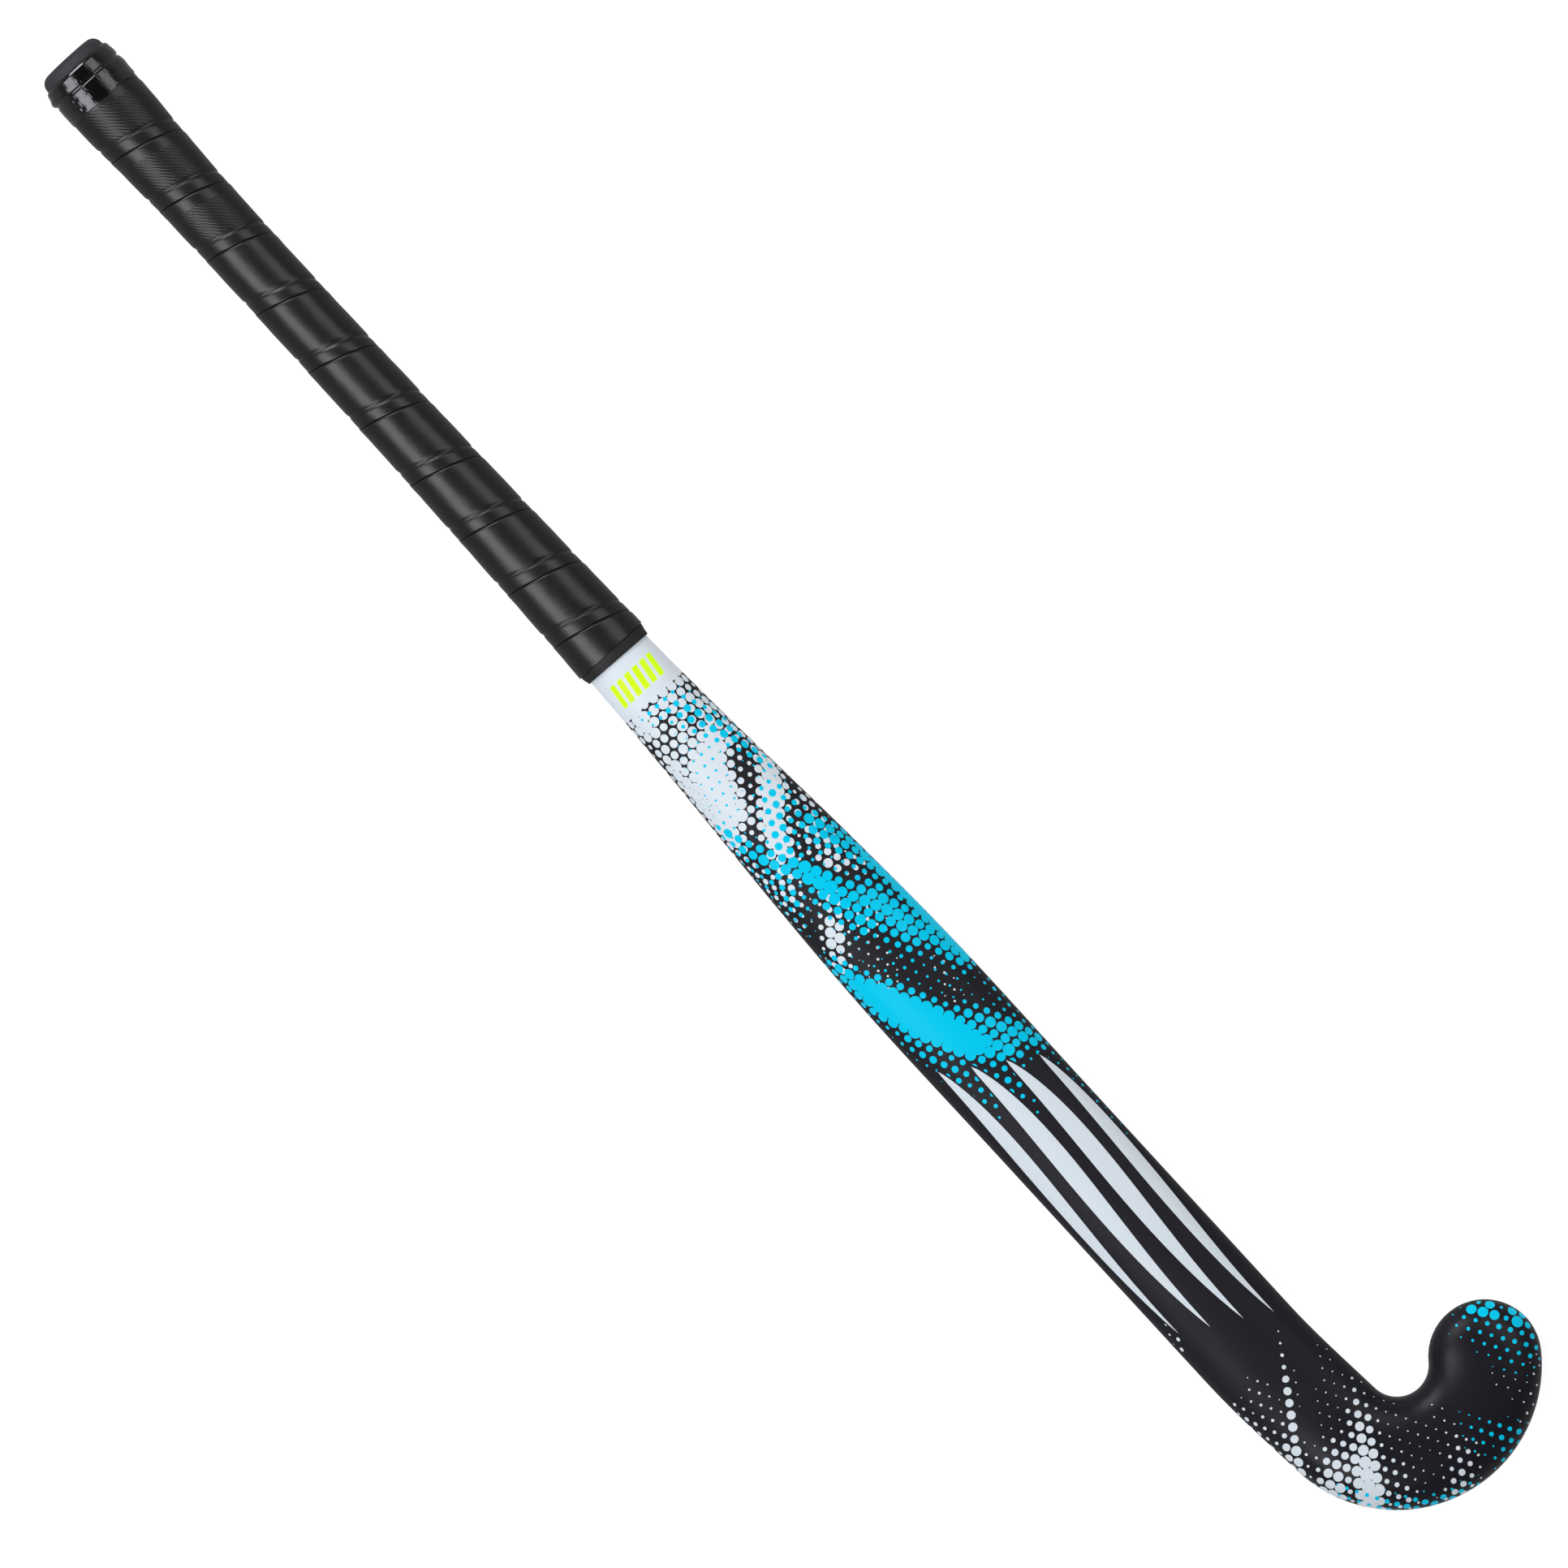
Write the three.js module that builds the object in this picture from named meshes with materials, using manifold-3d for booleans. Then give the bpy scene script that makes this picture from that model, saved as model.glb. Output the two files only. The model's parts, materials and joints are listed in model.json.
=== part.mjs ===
// Field hockey stick, junior size, moulded fibreglass with a wound grip.
//
// Millimetres, +Z up. The stick lies on its flat playing face with its rounded back up.
// +X runs from the butt to the head and +Y points to the toe's side.
// Every piece is first described in the stick's own lengthwise coordinate x, which is 0 at the
// butt's end face, and the outermost group then moves the origin to the middle of the footprint.

import * as THREE from "three";
import { mergeVertices } from "three/addons/utils/BufferGeometryUtils.js";
import Module from "manifold-3d";

const wasm = await Module();
wasm.setup();

// ---- Driving dimensions ----

const STICK_LENGTH = 863.6; // 34 inches
const GAP = 0.3; // clearance between touching pieces
const RING_POINTS = 20; // points round one cross-section
const TURN = 2 * Math.PI;

// The hook: an arc round the notch, closed by a round toe.
const HEAD_HALF_WIDTH = 24.35;
const HOOK_RADIUS = 38.1; // centre line of the hook
const HOOK_X = STICK_LENGTH - HOOK_RADIUS - HEAD_HALF_WIDTH; // centre of the hook's arc
const HOOK_Y = 41.0;
const HOOK_START = -1.5; // radians, where the shaft meets the arc
const HOOK_END = 0.93; // radians, where the round toe starts
const SHAFT_END = HOOK_X - 50; // where the centre line leaves the shaft's axis

// The bow: how the flat face arches up between the head and the butt.
const FLAT_FROM = 815; // the face is flat from here to the head's end
const BOW_HEIGHT = 21;
const BOW_SOFTNESS = 0.12;
const BOW_POWER = 1.6;
const BOW_PEAK = 0.1365; // the bow formula's own greatest value
const BUTT_LIFT = 3.2; // the bare butt sits this high, because grip and tape pass below it

// Laminate
const SKIN_WALL = 1.6;
const TUBE_WALL = 1.2;
const SPINE_HALF = GAP / 2; // each tube's distance from the middle of the spine
const FACE_PLATE_THICKNESS = 1.4;
const EDGE_STRIP_THICKNESS = 1.2;

// Lengthwise places
const CAP_END_WALL = 3;
const PLUG_FROM = CAP_END_WALL + GAP;
const PLUG_PLATE = 2.4;
const BUTT_FROM = PLUG_FROM + PLUG_PLATE + GAP; // where the laminate starts
const CAP_SKIRT_TO = 13;
const PRONG_TO = 42;
const FOAM_FROM = PRONG_TO + 3;
const TUBE_TO = 715;
const FOAM_TO = TUBE_TO - TUBE_WALL - 2;
const CORE_FROM = TUBE_TO + 1;
const GRIP_FROM = CAP_SKIRT_TO + 1;
const GRIP_TO = 346;
const FACE_PLATE_FROM = 718;
const FACE_PLATE_TO = 896;
const EDGE_STRIP_FROM = 785;
const TOP_TAPE_FROM = 5.6;
const TOP_TAPE_TO = 24;
const LOWER_TAPE_TO = 351.3;

// Grip layers, measured outwards from the bare handle
const UNDERLAY = 0.4;
const GRIP_INSIDE = GAP + UNDERLAY + GAP;
const GRIP_OUTSIDE = 2.5; // at the middle of a turn
const GRIP_EDGE = 2.3; // at a turn's skived edges
const TAPE_THICKNESS = 0.4;
const GRIP_PITCH = 31.2;
const GRIP_SEAM_X = 28; // first seam on the toe's side
const GRIP_SKEW = 3.6; // the seams cross the back less steeply than the face
const SEAM_SLANT = 1.2; // how far a turn's top leans over the turn before it

// Bare half-width and full thickness against distance from the butt
const HALF_WIDTHS = profile([
  [0, 14.3], [28, 14.8], [56, 13.6], [84, 12.7], [200, 12.7], [279, 13.8], [335, 15.1],
  [391, 17.3], [475, 22.2], [531, 24.4], [620, 24.5], [1000, HEAD_HALF_WIDTH],
]);
const THICKNESSES = profile([
  [0, 26.4], [28, 26.6], [84, 23.2], [200, 23], [351, 23.4], [475, 23], [600, 22.4],
  [760, 22.8], [840, 22.4], [1000, 20.5],
]);

// ---- Small tools ----

function profile(points) {
  const places = points.map((point) => point[0]);
  const values = points.map((point) => point[1]);
  const curve = new THREE.CubicInterpolant(places, values, 1);
  return (place) => curve.evaluate(place)[0];
}

function smooth(from, to, value) {
  return THREE.MathUtils.smoothstep(value, from, to);
}

function signedPower(value, power) {
  return Math.sign(value) * Math.abs(value) ** power;
}

// ---- The stick's centre line and cross-section ----

function hookPoint(angle) {
  return new THREE.Vector2(
    HOOK_X + HOOK_RADIUS * Math.cos(angle),
    HOOK_Y + HOOK_RADIUS * Math.sin(angle),
  );
}

function makeCentreLine() {
  const start = new THREE.Vector2(0, 0);
  const bend = new THREE.Vector2(SHAFT_END, 0);
  const meet = hookPoint(HOOK_START);
  const heading = new THREE.Vector2(-Math.sin(HOOK_START), Math.cos(HOOK_START));
  const reach = (meet.x - bend.x) / 3;
  const line = new THREE.CurvePath();
  line.add(new THREE.LineCurve(start, bend));
  line.add(new THREE.CubicBezierCurve(
    bend,
    bend.clone().add(new THREE.Vector2(reach, 0)),
    meet.clone().addScaledVector(heading, -reach),
    meet,
  ));
  line.add(new THREE.EllipseCurve(
    HOOK_X, HOOK_Y, HOOK_RADIUS, HOOK_RADIUS, HOOK_START, HOOK_END, false, 0,
  ));
  return line;
}

const centreLine = makeCentreLine();
const LINE_LENGTH = centreLine.getLength();
const TIP = LINE_LENGTH + HEAD_HALF_WIDTH; // the toe's outermost point along the line

// Height of the flat face above the ground
function faceHeight(x) {
  const u = Math.max(0, (FLAT_FROM - x) / FLAT_FROM);
  const arch = ((1 - Math.min(u, 1)) ** BOW_POWER * u * u) / (u + BOW_SOFTNESS);
  return BUTT_LIFT * u * u + (BOW_HEIGHT * arch) / BOW_PEAK;
}

// A station is one cross-section: its place, heading and sizes at a distance along the line.
function station(distance) {
  const along = THREE.MathUtils.clamp(distance, 0, LINE_LENGTH);
  const middle = centreLine.getPoint(along / LINE_LENGTH);
  const heading = centreLine.getTangent(along / LINE_LENGTH).normalize();
  middle.addScaledVector(heading, distance - along);
  return {
    middle,
    heading,
    distance,
    beyond: distance - along,
    halfWidth: HALF_WIDTHS(distance),
    thickness: THICKNESSES(distance),
    faceZ: faceHeight(middle.x),
    flatness: smooth(280, 480, distance), // 0 on the oval handle, 1 on the flat-faced shaft
    headness: smooth(700, 800, distance),
  };
}

// Cross-section: across is towards the toe's side, up is above the face. An inset makes the
// section smaller, and a negative inset larger, by the same amount all round.
function sectionPoint(at, angle, inset) {
  const round = at.flatness;
  const low = THREE.MathUtils.lerp(at.thickness * 0.5, 6, round);
  const corner = THREE.MathUtils.lerp(at.halfWidth * 0.82, 5, round);
  const crown = THREE.MathUtils.lerp(2.1, 2.2, round) + 0.3 * at.headness;
  const capWidth = HEAD_HALF_WIDTH - inset;
  const cut = Math.min(1, Math.max(0, at.beyond) / capWidth);
  const narrow = Math.sqrt(1 - cut * cut);
  const sink = (1 - cut ** crown) ** (1 / crown);
  const halfWidth = (at.halfWidth - inset) * narrow;
  const upper = (at.thickness - low - inset) * sink;
  const lower = (low - inset) * Math.min(1, capEdge(capWidth, corner - inset, at.beyond));
  if (Math.sin(angle) >= 0) {
    return {
      across: halfWidth * signedPower(Math.cos(angle), 2 / crown),
      up: low + upper * Math.sin(angle) ** (2 / crown),
    };
  }
  const under = undersidePoint(angle, halfWidth, Math.min(halfWidth, corner - inset));
  return { across: under.across, up: low - lower * under.depth };
}

// How deep the underside reaches near the toe's rim, as a share of its full depth
function capEdge(capWidth, corner, beyond) {
  const into = Math.max(0, beyond - (capWidth - corner)) / corner;
  return Math.sqrt(Math.max(0, 1 - Math.min(1, into) ** 2));
}

// The underside is flat in the middle with a rounded corner at each side.
function undersidePoint(angle, halfWidth, corner) {
  const cornerShare = 0.6;
  const side = Math.cos(angle) >= 0 ? 1 : -1;
  const turned = Math.asin(Math.min(1, Math.abs(Math.sin(angle)))) / (Math.PI / 2);
  if (turned < cornerShare) {
    const bend = (turned / cornerShare) * (Math.PI / 2);
    return {
      across: side * (halfWidth - corner + corner * Math.cos(bend)),
      depth: Math.sin(bend),
    };
  }
  const rest = (1 - turned) / (1 - cornerShare);
  return { across: side * (halfWidth - corner) * rest, depth: 1 };
}

function place(at, across, up) {
  return new THREE.Vector3(
    at.middle.x - at.heading.y * across,
    at.middle.y + at.heading.x * across,
    at.faceZ + up,
  );
}

function surfacePoint(distance, angle, inset) {
  const at = station(distance);
  const spot = sectionPoint(at, angle, inset);
  return place(at, spot.across, spot.up);
}

function fullRing(distance, inset) {
  const ring = [];
  for (let i = 0; i < RING_POINTS; i += 1) {
    ring.push(surfacePoint(distance, (TURN * i) / RING_POINTS, inset));
  }
  return ring;
}

// One of the two tubes' sections: the half of a section on one side of the spine
function halfRing(distance, inset, spine, side) {
  const at = station(distance);
  const ring = [];
  for (let i = 0; i <= RING_POINTS / 2; i += 1) {
    const spot = sectionPoint(at, TURN / 4 - (TURN * i) / RING_POINTS, inset);
    ring.push(place(at, side * Math.max(spot.across, spine), spot.up));
  }
  return ring;
}

// ---- Stations along the stick ----

function evenly(from, to, step) {
  const count = Math.round((to - from) / step);
  return Array.from({ length: count }, (_, i) => from + ((to - from) * i) / count);
}

const GRID = [
  ...evenly(14, 98, 14), ...evenly(98, SHAFT_END, 28), ...evenly(SHAFT_END, LINE_LENGTH, 9.5),
  LINE_LENGTH,
];

function distances(from, to) {
  const between = GRID.filter((distance) => distance > from + 1 && distance < to - 1);
  return [from, ...between, to];
}

// Rings round the toe's end, closing to a point on its rim
function toeRings(inset) {
  const steps = 5;
  const reach = HEAD_HALF_WIDTH - inset;
  const rings = [];
  for (let i = 1; i <= steps; i += 1) {
    rings.push(fullRing(LINE_LENGTH + reach * Math.sin((TURN / 4) * (i / steps)), inset));
  }
  return rings;
}

function ringsBetween(from, to, inset) {
  return distances(from, to).map((distance) => fullRing(distance, inset));
}

// ---- Closed meshes from rings and grids of points ----

function addQuad(faces, a, b, c, d) {
  faces.push(a, b, c, a, c, d);
}

function skin(rings, closed = false) {
  const faces = [];
  const pairs = closed ? rings.length : rings.length - 1;
  for (let i = 0; i < pairs; i += 1) {
    const ring = rings[i];
    const next = rings[(i + 1) % rings.length];
    for (let j = 0; j < ring.length; j += 1) {
      const k = (j + 1) % ring.length;
      addQuad(faces, ring[j], ring[k], next[k], next[j]);
    }
  }
  if (!closed) {
    addEnd(faces, rings[0].slice().reverse());
    addEnd(faces, rings[rings.length - 1]);
  }
  return closedGeometry(faces);
}

function addEnd(faces, ring) {
  for (let i = 1; i < ring.length - 1; i += 1) {
    faces.push(ring[0], ring[i], ring[i + 1]);
  }
}

// A slab between two grids of points of the same size
function slab(outer, inner) {
  const faces = [];
  const lastRow = outer.length - 1;
  const lastColumn = outer[0].length - 1;
  for (let i = 0; i < lastRow; i += 1) {
    for (let j = 0; j < lastColumn; j += 1) {
      addQuad(faces, outer[i][j], outer[i][j + 1], outer[i + 1][j + 1], outer[i + 1][j]);
      addQuad(faces, inner[i][j], inner[i + 1][j], inner[i + 1][j + 1], inner[i][j + 1]);
    }
    addQuad(faces, outer[i][0], outer[i + 1][0], inner[i + 1][0], inner[i][0]);
    addQuad(
      faces, outer[i + 1][lastColumn], outer[i][lastColumn],
      inner[i][lastColumn], inner[i + 1][lastColumn],
    );
  }
  for (let j = 0; j < lastColumn; j += 1) {
    addQuad(faces, outer[0][j + 1], outer[0][j], inner[0][j], inner[0][j + 1]);
    addQuad(
      faces, outer[lastRow][j], outer[lastRow][j + 1],
      inner[lastRow][j + 1], inner[lastRow][j],
    );
  }
  return closedGeometry(faces);
}

// Welds the triangles, drops those that shrank to a line and turns the faces outwards
function closedGeometry(faces) {
  const soup = new THREE.BufferGeometry().setFromPoints(faces);
  const welded = mergeVertices(soup, 1e-4);
  const corners = welded.index.array;
  const kept = [];
  for (let i = 0; i < corners.length; i += 3) {
    const [a, b, c] = [corners[i], corners[i + 1], corners[i + 2]];
    if (a !== b && b !== c && c !== a) {
      kept.push(a, b, c);
    }
  }
  welded.setIndex(kept);
  if (signedVolume(welded) < 0) {
    welded.setIndex(kept.reverse());
  }
  welded.computeVertexNormals();
  return welded;
}

function signedVolume(geometry) {
  const points = geometry.attributes.position;
  const corners = geometry.index.array;
  const [a, b, c] = [new THREE.Vector3(), new THREE.Vector3(), new THREE.Vector3()];
  let volume = 0;
  for (let i = 0; i < corners.length; i += 3) {
    a.fromBufferAttribute(points, corners[i]);
    b.fromBufferAttribute(points, corners[i + 1]);
    c.fromBufferAttribute(points, corners[i + 2]);
    volume += a.dot(b.cross(c)) / 6;
  }
  return volume;
}

// ---- Joining solids ----

function toSolid(geometry) {
  const plain = geometry.clone();
  plain.deleteAttribute("normal");
  const merged = mergeVertices(plain, 1e-4);
  return new wasm.Manifold(new wasm.Mesh({
    numProp: 3,
    vertProperties: new Float32Array(merged.attributes.position.array),
    triVerts: new Uint32Array(merged.index.array),
  }));
}

function fromSolid(solid) {
  const mesh = solid.getMesh();
  const geometry = new THREE.BufferGeometry();
  geometry.setAttribute("position", new THREE.BufferAttribute(mesh.vertProperties, 3));
  geometry.setIndex(new THREE.BufferAttribute(mesh.triVerts, 1));
  geometry.computeVertexNormals();
  return geometry;
}

function joined(geometries) {
  const solids = geometries.map(toSolid);
  return fromSolid(solids.slice(1).reduce((whole, solid) => whole.add(solid), solids[0]));
}

// ---- Laminate pieces ----

// A hollow piece, closed at the head's end and open at the butt
function outerSkin() {
  const outer = [...ringsBetween(BUTT_FROM, LINE_LENGTH, 0), ...toeRings(0)];
  const inner = [...ringsBetween(BUTT_FROM, LINE_LENGTH, SKIN_WALL), ...toeRings(SKIN_WALL)];
  return skin([...inner.reverse(), ...outer]);
}

function innerTube(side) {
  const inset = SKIN_WALL + GAP;
  const bore = inset + TUBE_WALL;
  const boreTo = TUBE_TO - TUBE_WALL;
  const outer = distances(BUTT_FROM, TUBE_TO).map((d) => halfRing(d, inset, SPINE_HALF, side));
  const inner = distances(BUTT_FROM, boreTo).map(
    (d) => halfRing(d, bore, SPINE_HALF + TUBE_WALL, side),
  );
  return skin([...inner.reverse(), ...outer]);
}

function fillOfTube(from, to, side) {
  const inset = SKIN_WALL + GAP + TUBE_WALL + GAP;
  const spine = SPINE_HALF + TUBE_WALL + GAP;
  return skin(distances(from, to).map((d) => halfRing(d, inset, spine, side)));
}

function headCore() {
  const inset = SKIN_WALL + GAP + FACE_PLATE_THICKNESS + GAP;
  return skin([...ringsBetween(CORE_FROM, LINE_LENGTH, inset), ...toeRings(inset)]);
}

// A thin plate that follows part of the section's outline, between two angles round it
function liner(from, to, firstStep, lastStep, thickness) {
  const inset = SKIN_WALL + GAP;
  const grid = (depth) => distances(from, to).map((d) => {
    const row = [];
    for (let step = firstStep; step <= lastStep; step += 1) {
      row.push(surfacePoint(d, (TURN * step) / RING_POINTS, depth));
    }
    return row;
  });
  return slab(grid(inset), grid(inset + thickness));
}

function facePlate() {
  const firstStep = 0.65 * RING_POINTS;
  const lastStep = 0.85 * RING_POINTS;
  return liner(FACE_PLATE_FROM, FACE_PLATE_TO, firstStep, lastStep, FACE_PLATE_THICKNESS);
}

function edgeStrip() {
  const firstStep = 0.4 * RING_POINTS;
  const lastStep = 0.6 * RING_POINTS;
  return liner(EDGE_STRIP_FROM, LINE_LENGTH, firstStep, lastStep, EDGE_STRIP_THICKNESS);
}

// ---- Butt ----

function endPlug() {
  const plateTo = PLUG_FROM + PLUG_PLATE;
  const plate = skin([fullRing(PLUG_FROM, GAP), fullRing(plateTo, GAP)]);
  const prong = (side) => fillOfTube(plateTo - 0.5, PRONG_TO, side);
  return joined([plate, prong(1), prong(-1)]);
}

function endCap() {
  const outside = [[CAP_SKIRT_TO, -2.2], [9, -1.9], [5.6, -1.5], [2.4, -1.2], [0.8, -0.6], [0, 0.8]];
  const inside = [[CAP_END_WALL, -GAP], [CAP_SKIRT_TO, -GAP]];
  return skin([...inside, ...outside].map(([x, inset]) => fullRing(x, inset)));
}

// ---- Grip ----

function sleeve(outside, inside) {
  const outer = outside.map(([x, offset]) => fullRing(x, -offset));
  const inner = inside.map(([x, offset]) => fullRing(x, -offset)).reverse();
  return skin([...outer, ...inner], true);
}

function gripUnderlay() {
  const layer = (offset) => distances(GRIP_FROM, LOWER_TAPE_TO - 1).map((x) => [x, offset]);
  return sleeve(layer(GAP + UNDERLAY), layer(GAP));
}

// Where the edge of a turn crosses the handle, for an angle that grows towards the head
function seamX(turned) {
  const skew = (GRIP_SKEW * (1 - Math.cos(turned))) / 2;
  return GRIP_SEAM_X + (GRIP_PITCH * turned) / TURN + skew;
}

function gripSection(turned) {
  const seamGap = 1.5 * GAP;
  const near = seamX(turned);
  const far = seamX(turned + TURN) - seamGap;
  const lean = SEAM_SLANT / 2;
  const corner = (x, offset) => surfacePoint(
    THREE.MathUtils.clamp(x, GRIP_FROM, GRIP_TO), -turned, -offset,
  );
  const centre = (near + far) / 2;
  return [
    corner(near + lean, GRIP_INSIDE), corner(centre, GRIP_INSIDE),
    corner(far + lean, GRIP_INSIDE), corner(far - lean, GRIP_EDGE),
    corner(centre, GRIP_OUTSIDE), corner(near - lean, GRIP_EDGE),
  ];
}

function gripStrip() {
  const sections = [];
  const narrowest = 2;
  for (let step = -RING_POINTS; seamX((TURN * step) / RING_POINTS) < GRIP_TO - narrowest; step += 1) {
    const turned = (TURN * step) / RING_POINTS;
    if (seamX(turned + TURN) > GRIP_FROM + narrowest) {
      sections.push(gripSection(turned));
    }
  }
  return skin(sections);
}

function topTape() {
  const outside = [[TOP_TAPE_FROM, 2.2], [9, 2.7], [12.5, 3.2], [14.5, 3.05], [TOP_TAPE_TO, 3.05]];
  const inside = outside.map(([x, offset]) => [x, offset - TAPE_THICKNESS]);
  return sleeve(outside, inside);
}

function lowerTape() {
  const from = GRIP_TO + GAP;
  const inner = GAP + UNDERLAY + GAP;
  return sleeve([[from, 2.2], [LOWER_TAPE_TO, 1.6]], [[from, inner], [LOWER_TAPE_TO, inner]]);
}

// ---- Assembly ----

const LACQUER = { color: 0x1c1a1c, roughness: 0.35, metalness: 0 };
const LAMINATE = { color: 0xc9c39a, roughness: 0.5, metalness: 0 };
const FOAM = { color: 0xe6d9a8, roughness: 0.9, metalness: 0 };
const ARAMID = { color: 0xd8b53c, roughness: 0.6, metalness: 0 };
const RUBBER = { color: 0x222224, roughness: 0.75, metalness: 0 };
const PLUG_PLASTIC = { color: 0x55585c, roughness: 0.5, metalness: 0 };
const CUSHION = { color: 0xd9d9d4, roughness: 0.9, metalness: 0 };
const GRIP_COVER = { color: 0x1b1a1c, roughness: 0.5, metalness: 0 };
const VINYL = { color: 0x101013, roughness: 0.15, metalness: 0 };

const stick = new THREE.Group();

function add(name, geometry, finish) {
  const mesh = new THREE.Mesh(geometry, new THREE.MeshStandardMaterial(finish));
  mesh.name = name;
  stick.add(mesh);
}

add("outer_skin", outerSkin(), LACQUER);
add("toe_side_tube", innerTube(1), LAMINATE);
add("heel_side_tube", innerTube(-1), LAMINATE);
add("toe_side_foam_core", fillOfTube(FOAM_FROM, FOAM_TO, 1), FOAM);
add("heel_side_foam_core", fillOfTube(FOAM_FROM, FOAM_TO, -1), FOAM);
add("head_core", headCore(), FOAM);
add("face_plate", facePlate(), LAMINATE);
add("edge_reinforcement", edgeStrip(), ARAMID);
add("end_plug", endPlug(), PLUG_PLASTIC);
add("end_cap", endCap(), RUBBER);
add("grip_underlay", gripUnderlay(), CUSHION);
add("grip_strip", gripStrip(), GRIP_COVER);
add("top_finishing_tape", topTape(), VINYL);
add("lower_finishing_tape", lowerTape(), GRIP_COVER);

// The origin is on the ground, under the middle of the stick's box.
const box = new THREE.Box3().setFromObject(stick);
const middle = box.getCenter(new THREE.Vector3());
stick.position.set(-middle.x, -middle.y, -box.min.z);

const part = new THREE.Group();
part.add(stick);

export default part;
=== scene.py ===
# Looks of the field hockey stick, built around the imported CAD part.
#
# Shapes are worked out in millimetres in the stick's own coordinates: x runs from the butt's end
# face (0) to the head, y points to the toe's side with 0 on the handle's axis, and z is the
# height above the ground. in_row() turns them into the row frame's metres.
#
# The painted skin is one mesh whose printed dots are real regions of its surface. They are drawn
# on a flat "film": the plane that the skin makes when its sides are unrolled on both sides of
# the stick's centre line. lift() wraps a film point back on to the stick.

import json
import math

import bmesh
import bpy
import numpy as np
from mathutils import Matrix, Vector
from mathutils.geometry import delaunay_2d_cdt


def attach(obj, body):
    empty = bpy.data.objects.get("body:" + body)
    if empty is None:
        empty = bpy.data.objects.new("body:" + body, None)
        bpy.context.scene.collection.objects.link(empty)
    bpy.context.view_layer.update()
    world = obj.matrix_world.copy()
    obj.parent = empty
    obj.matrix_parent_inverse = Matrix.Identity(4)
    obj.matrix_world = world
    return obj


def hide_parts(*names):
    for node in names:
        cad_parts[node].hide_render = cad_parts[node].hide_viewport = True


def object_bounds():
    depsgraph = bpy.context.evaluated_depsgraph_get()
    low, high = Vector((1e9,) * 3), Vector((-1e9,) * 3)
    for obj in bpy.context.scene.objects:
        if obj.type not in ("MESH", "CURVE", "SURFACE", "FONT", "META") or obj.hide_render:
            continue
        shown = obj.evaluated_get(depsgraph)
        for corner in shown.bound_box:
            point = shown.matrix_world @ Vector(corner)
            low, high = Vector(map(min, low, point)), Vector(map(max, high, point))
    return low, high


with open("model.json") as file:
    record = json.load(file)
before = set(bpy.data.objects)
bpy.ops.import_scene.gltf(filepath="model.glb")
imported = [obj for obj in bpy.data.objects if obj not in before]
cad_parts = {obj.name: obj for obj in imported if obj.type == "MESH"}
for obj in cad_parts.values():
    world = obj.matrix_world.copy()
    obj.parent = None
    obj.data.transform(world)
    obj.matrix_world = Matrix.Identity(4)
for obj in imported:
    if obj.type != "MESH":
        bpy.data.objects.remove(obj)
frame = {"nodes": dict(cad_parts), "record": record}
CAD_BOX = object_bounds()

MM = 0.001
MOUNTS = {mount["name"]: mount["pos_m"] for mount in frame["record"]["mounts"]}
BUTT = MOUNTS["butt_end"] # in the row frame

# ---- Sizes in millimetres, as in the CAD part ----

STICK_LENGTH = (CAD_BOX[1].x - CAD_BOX[0].x) / MM
HEAD_HALF_WIDTH = 24.35
HOOK_RADIUS = 38.1
HOOK_CENTRE = np.array([STICK_LENGTH - HOOK_RADIUS - HEAD_HALF_WIDTH, 41.0])
HOOK_START = -1.5
HOOK_END = 0.93
SHAFT_END = HOOK_CENTRE[0] - 50
FLAT_FROM = 815
BOW_HEIGHT = 21
BOW_SOFTNESS = 0.12
BOW_POWER = 1.6
BOW_PEAK = 0.1365
BUTT_LIFT = 3.2
SKIN_WALL = 1.6
BUTT_FROM = 6.0
GRIP_FROM = 14
GRIP_TO = 346
LOWER_TAPE_TO = 351.3
CAP_SKIRT_TO = 13
TOP_TAPE_FROM = 5.6
TOP_TAPE_TO = 24
HALF_WIDTH_POINTS = [
    (0, 14.3), (28, 14.8), (56, 13.6), (84, 12.7), (200, 12.7), (279, 13.8), (335, 15.1),
    (391, 17.3), (475, 22.2), (531, 24.4), (620, 24.5), (1000, HEAD_HALF_WIDTH),
]
THICKNESS_POINTS = [
    (0, 26.4), (28, 26.6), (84, 23.2), (200, 23), (351, 23.4), (475, 23), (600, 22.4),
    (760, 22.8), (840, 22.4), (1000, 20.5),
]

# ---- Small tools ----


def smooth(low, high, value):
    """0 below low, 1 above high, and a smooth step between them."""
    share = np.clip((value - low) / (high - low), 0, 1)
    return share * share * (3 - 2 * share)


def blend(first, second, share):
    return first + (second - first) * share


def hump(gap, width):
    """1 at no gap, falling off smoothly over the width."""
    return np.exp(-((gap / width) ** 2))


def direction(angle):
    return np.stack([np.cos(angle), np.sin(angle)], -1)


def unit(vectors):
    return vectors / np.linalg.norm(vectors, axis=1)[:, None]


def bezier(corners, u):
    """Points of a cubic Bezier curve at the parts u of its way."""
    u = u[:, None]
    weights = [(1 - u) ** 3, 3 * u * (1 - u) ** 2, 3 * u * u * (1 - u), u**3]
    return sum(w * c for w, c in zip(weights, corners))


def straight_through(points, place):
    """The value at a place, along straight lines between (place, value) points."""
    places, values = zip(*points)
    return np.interp(place, places, values)


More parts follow.
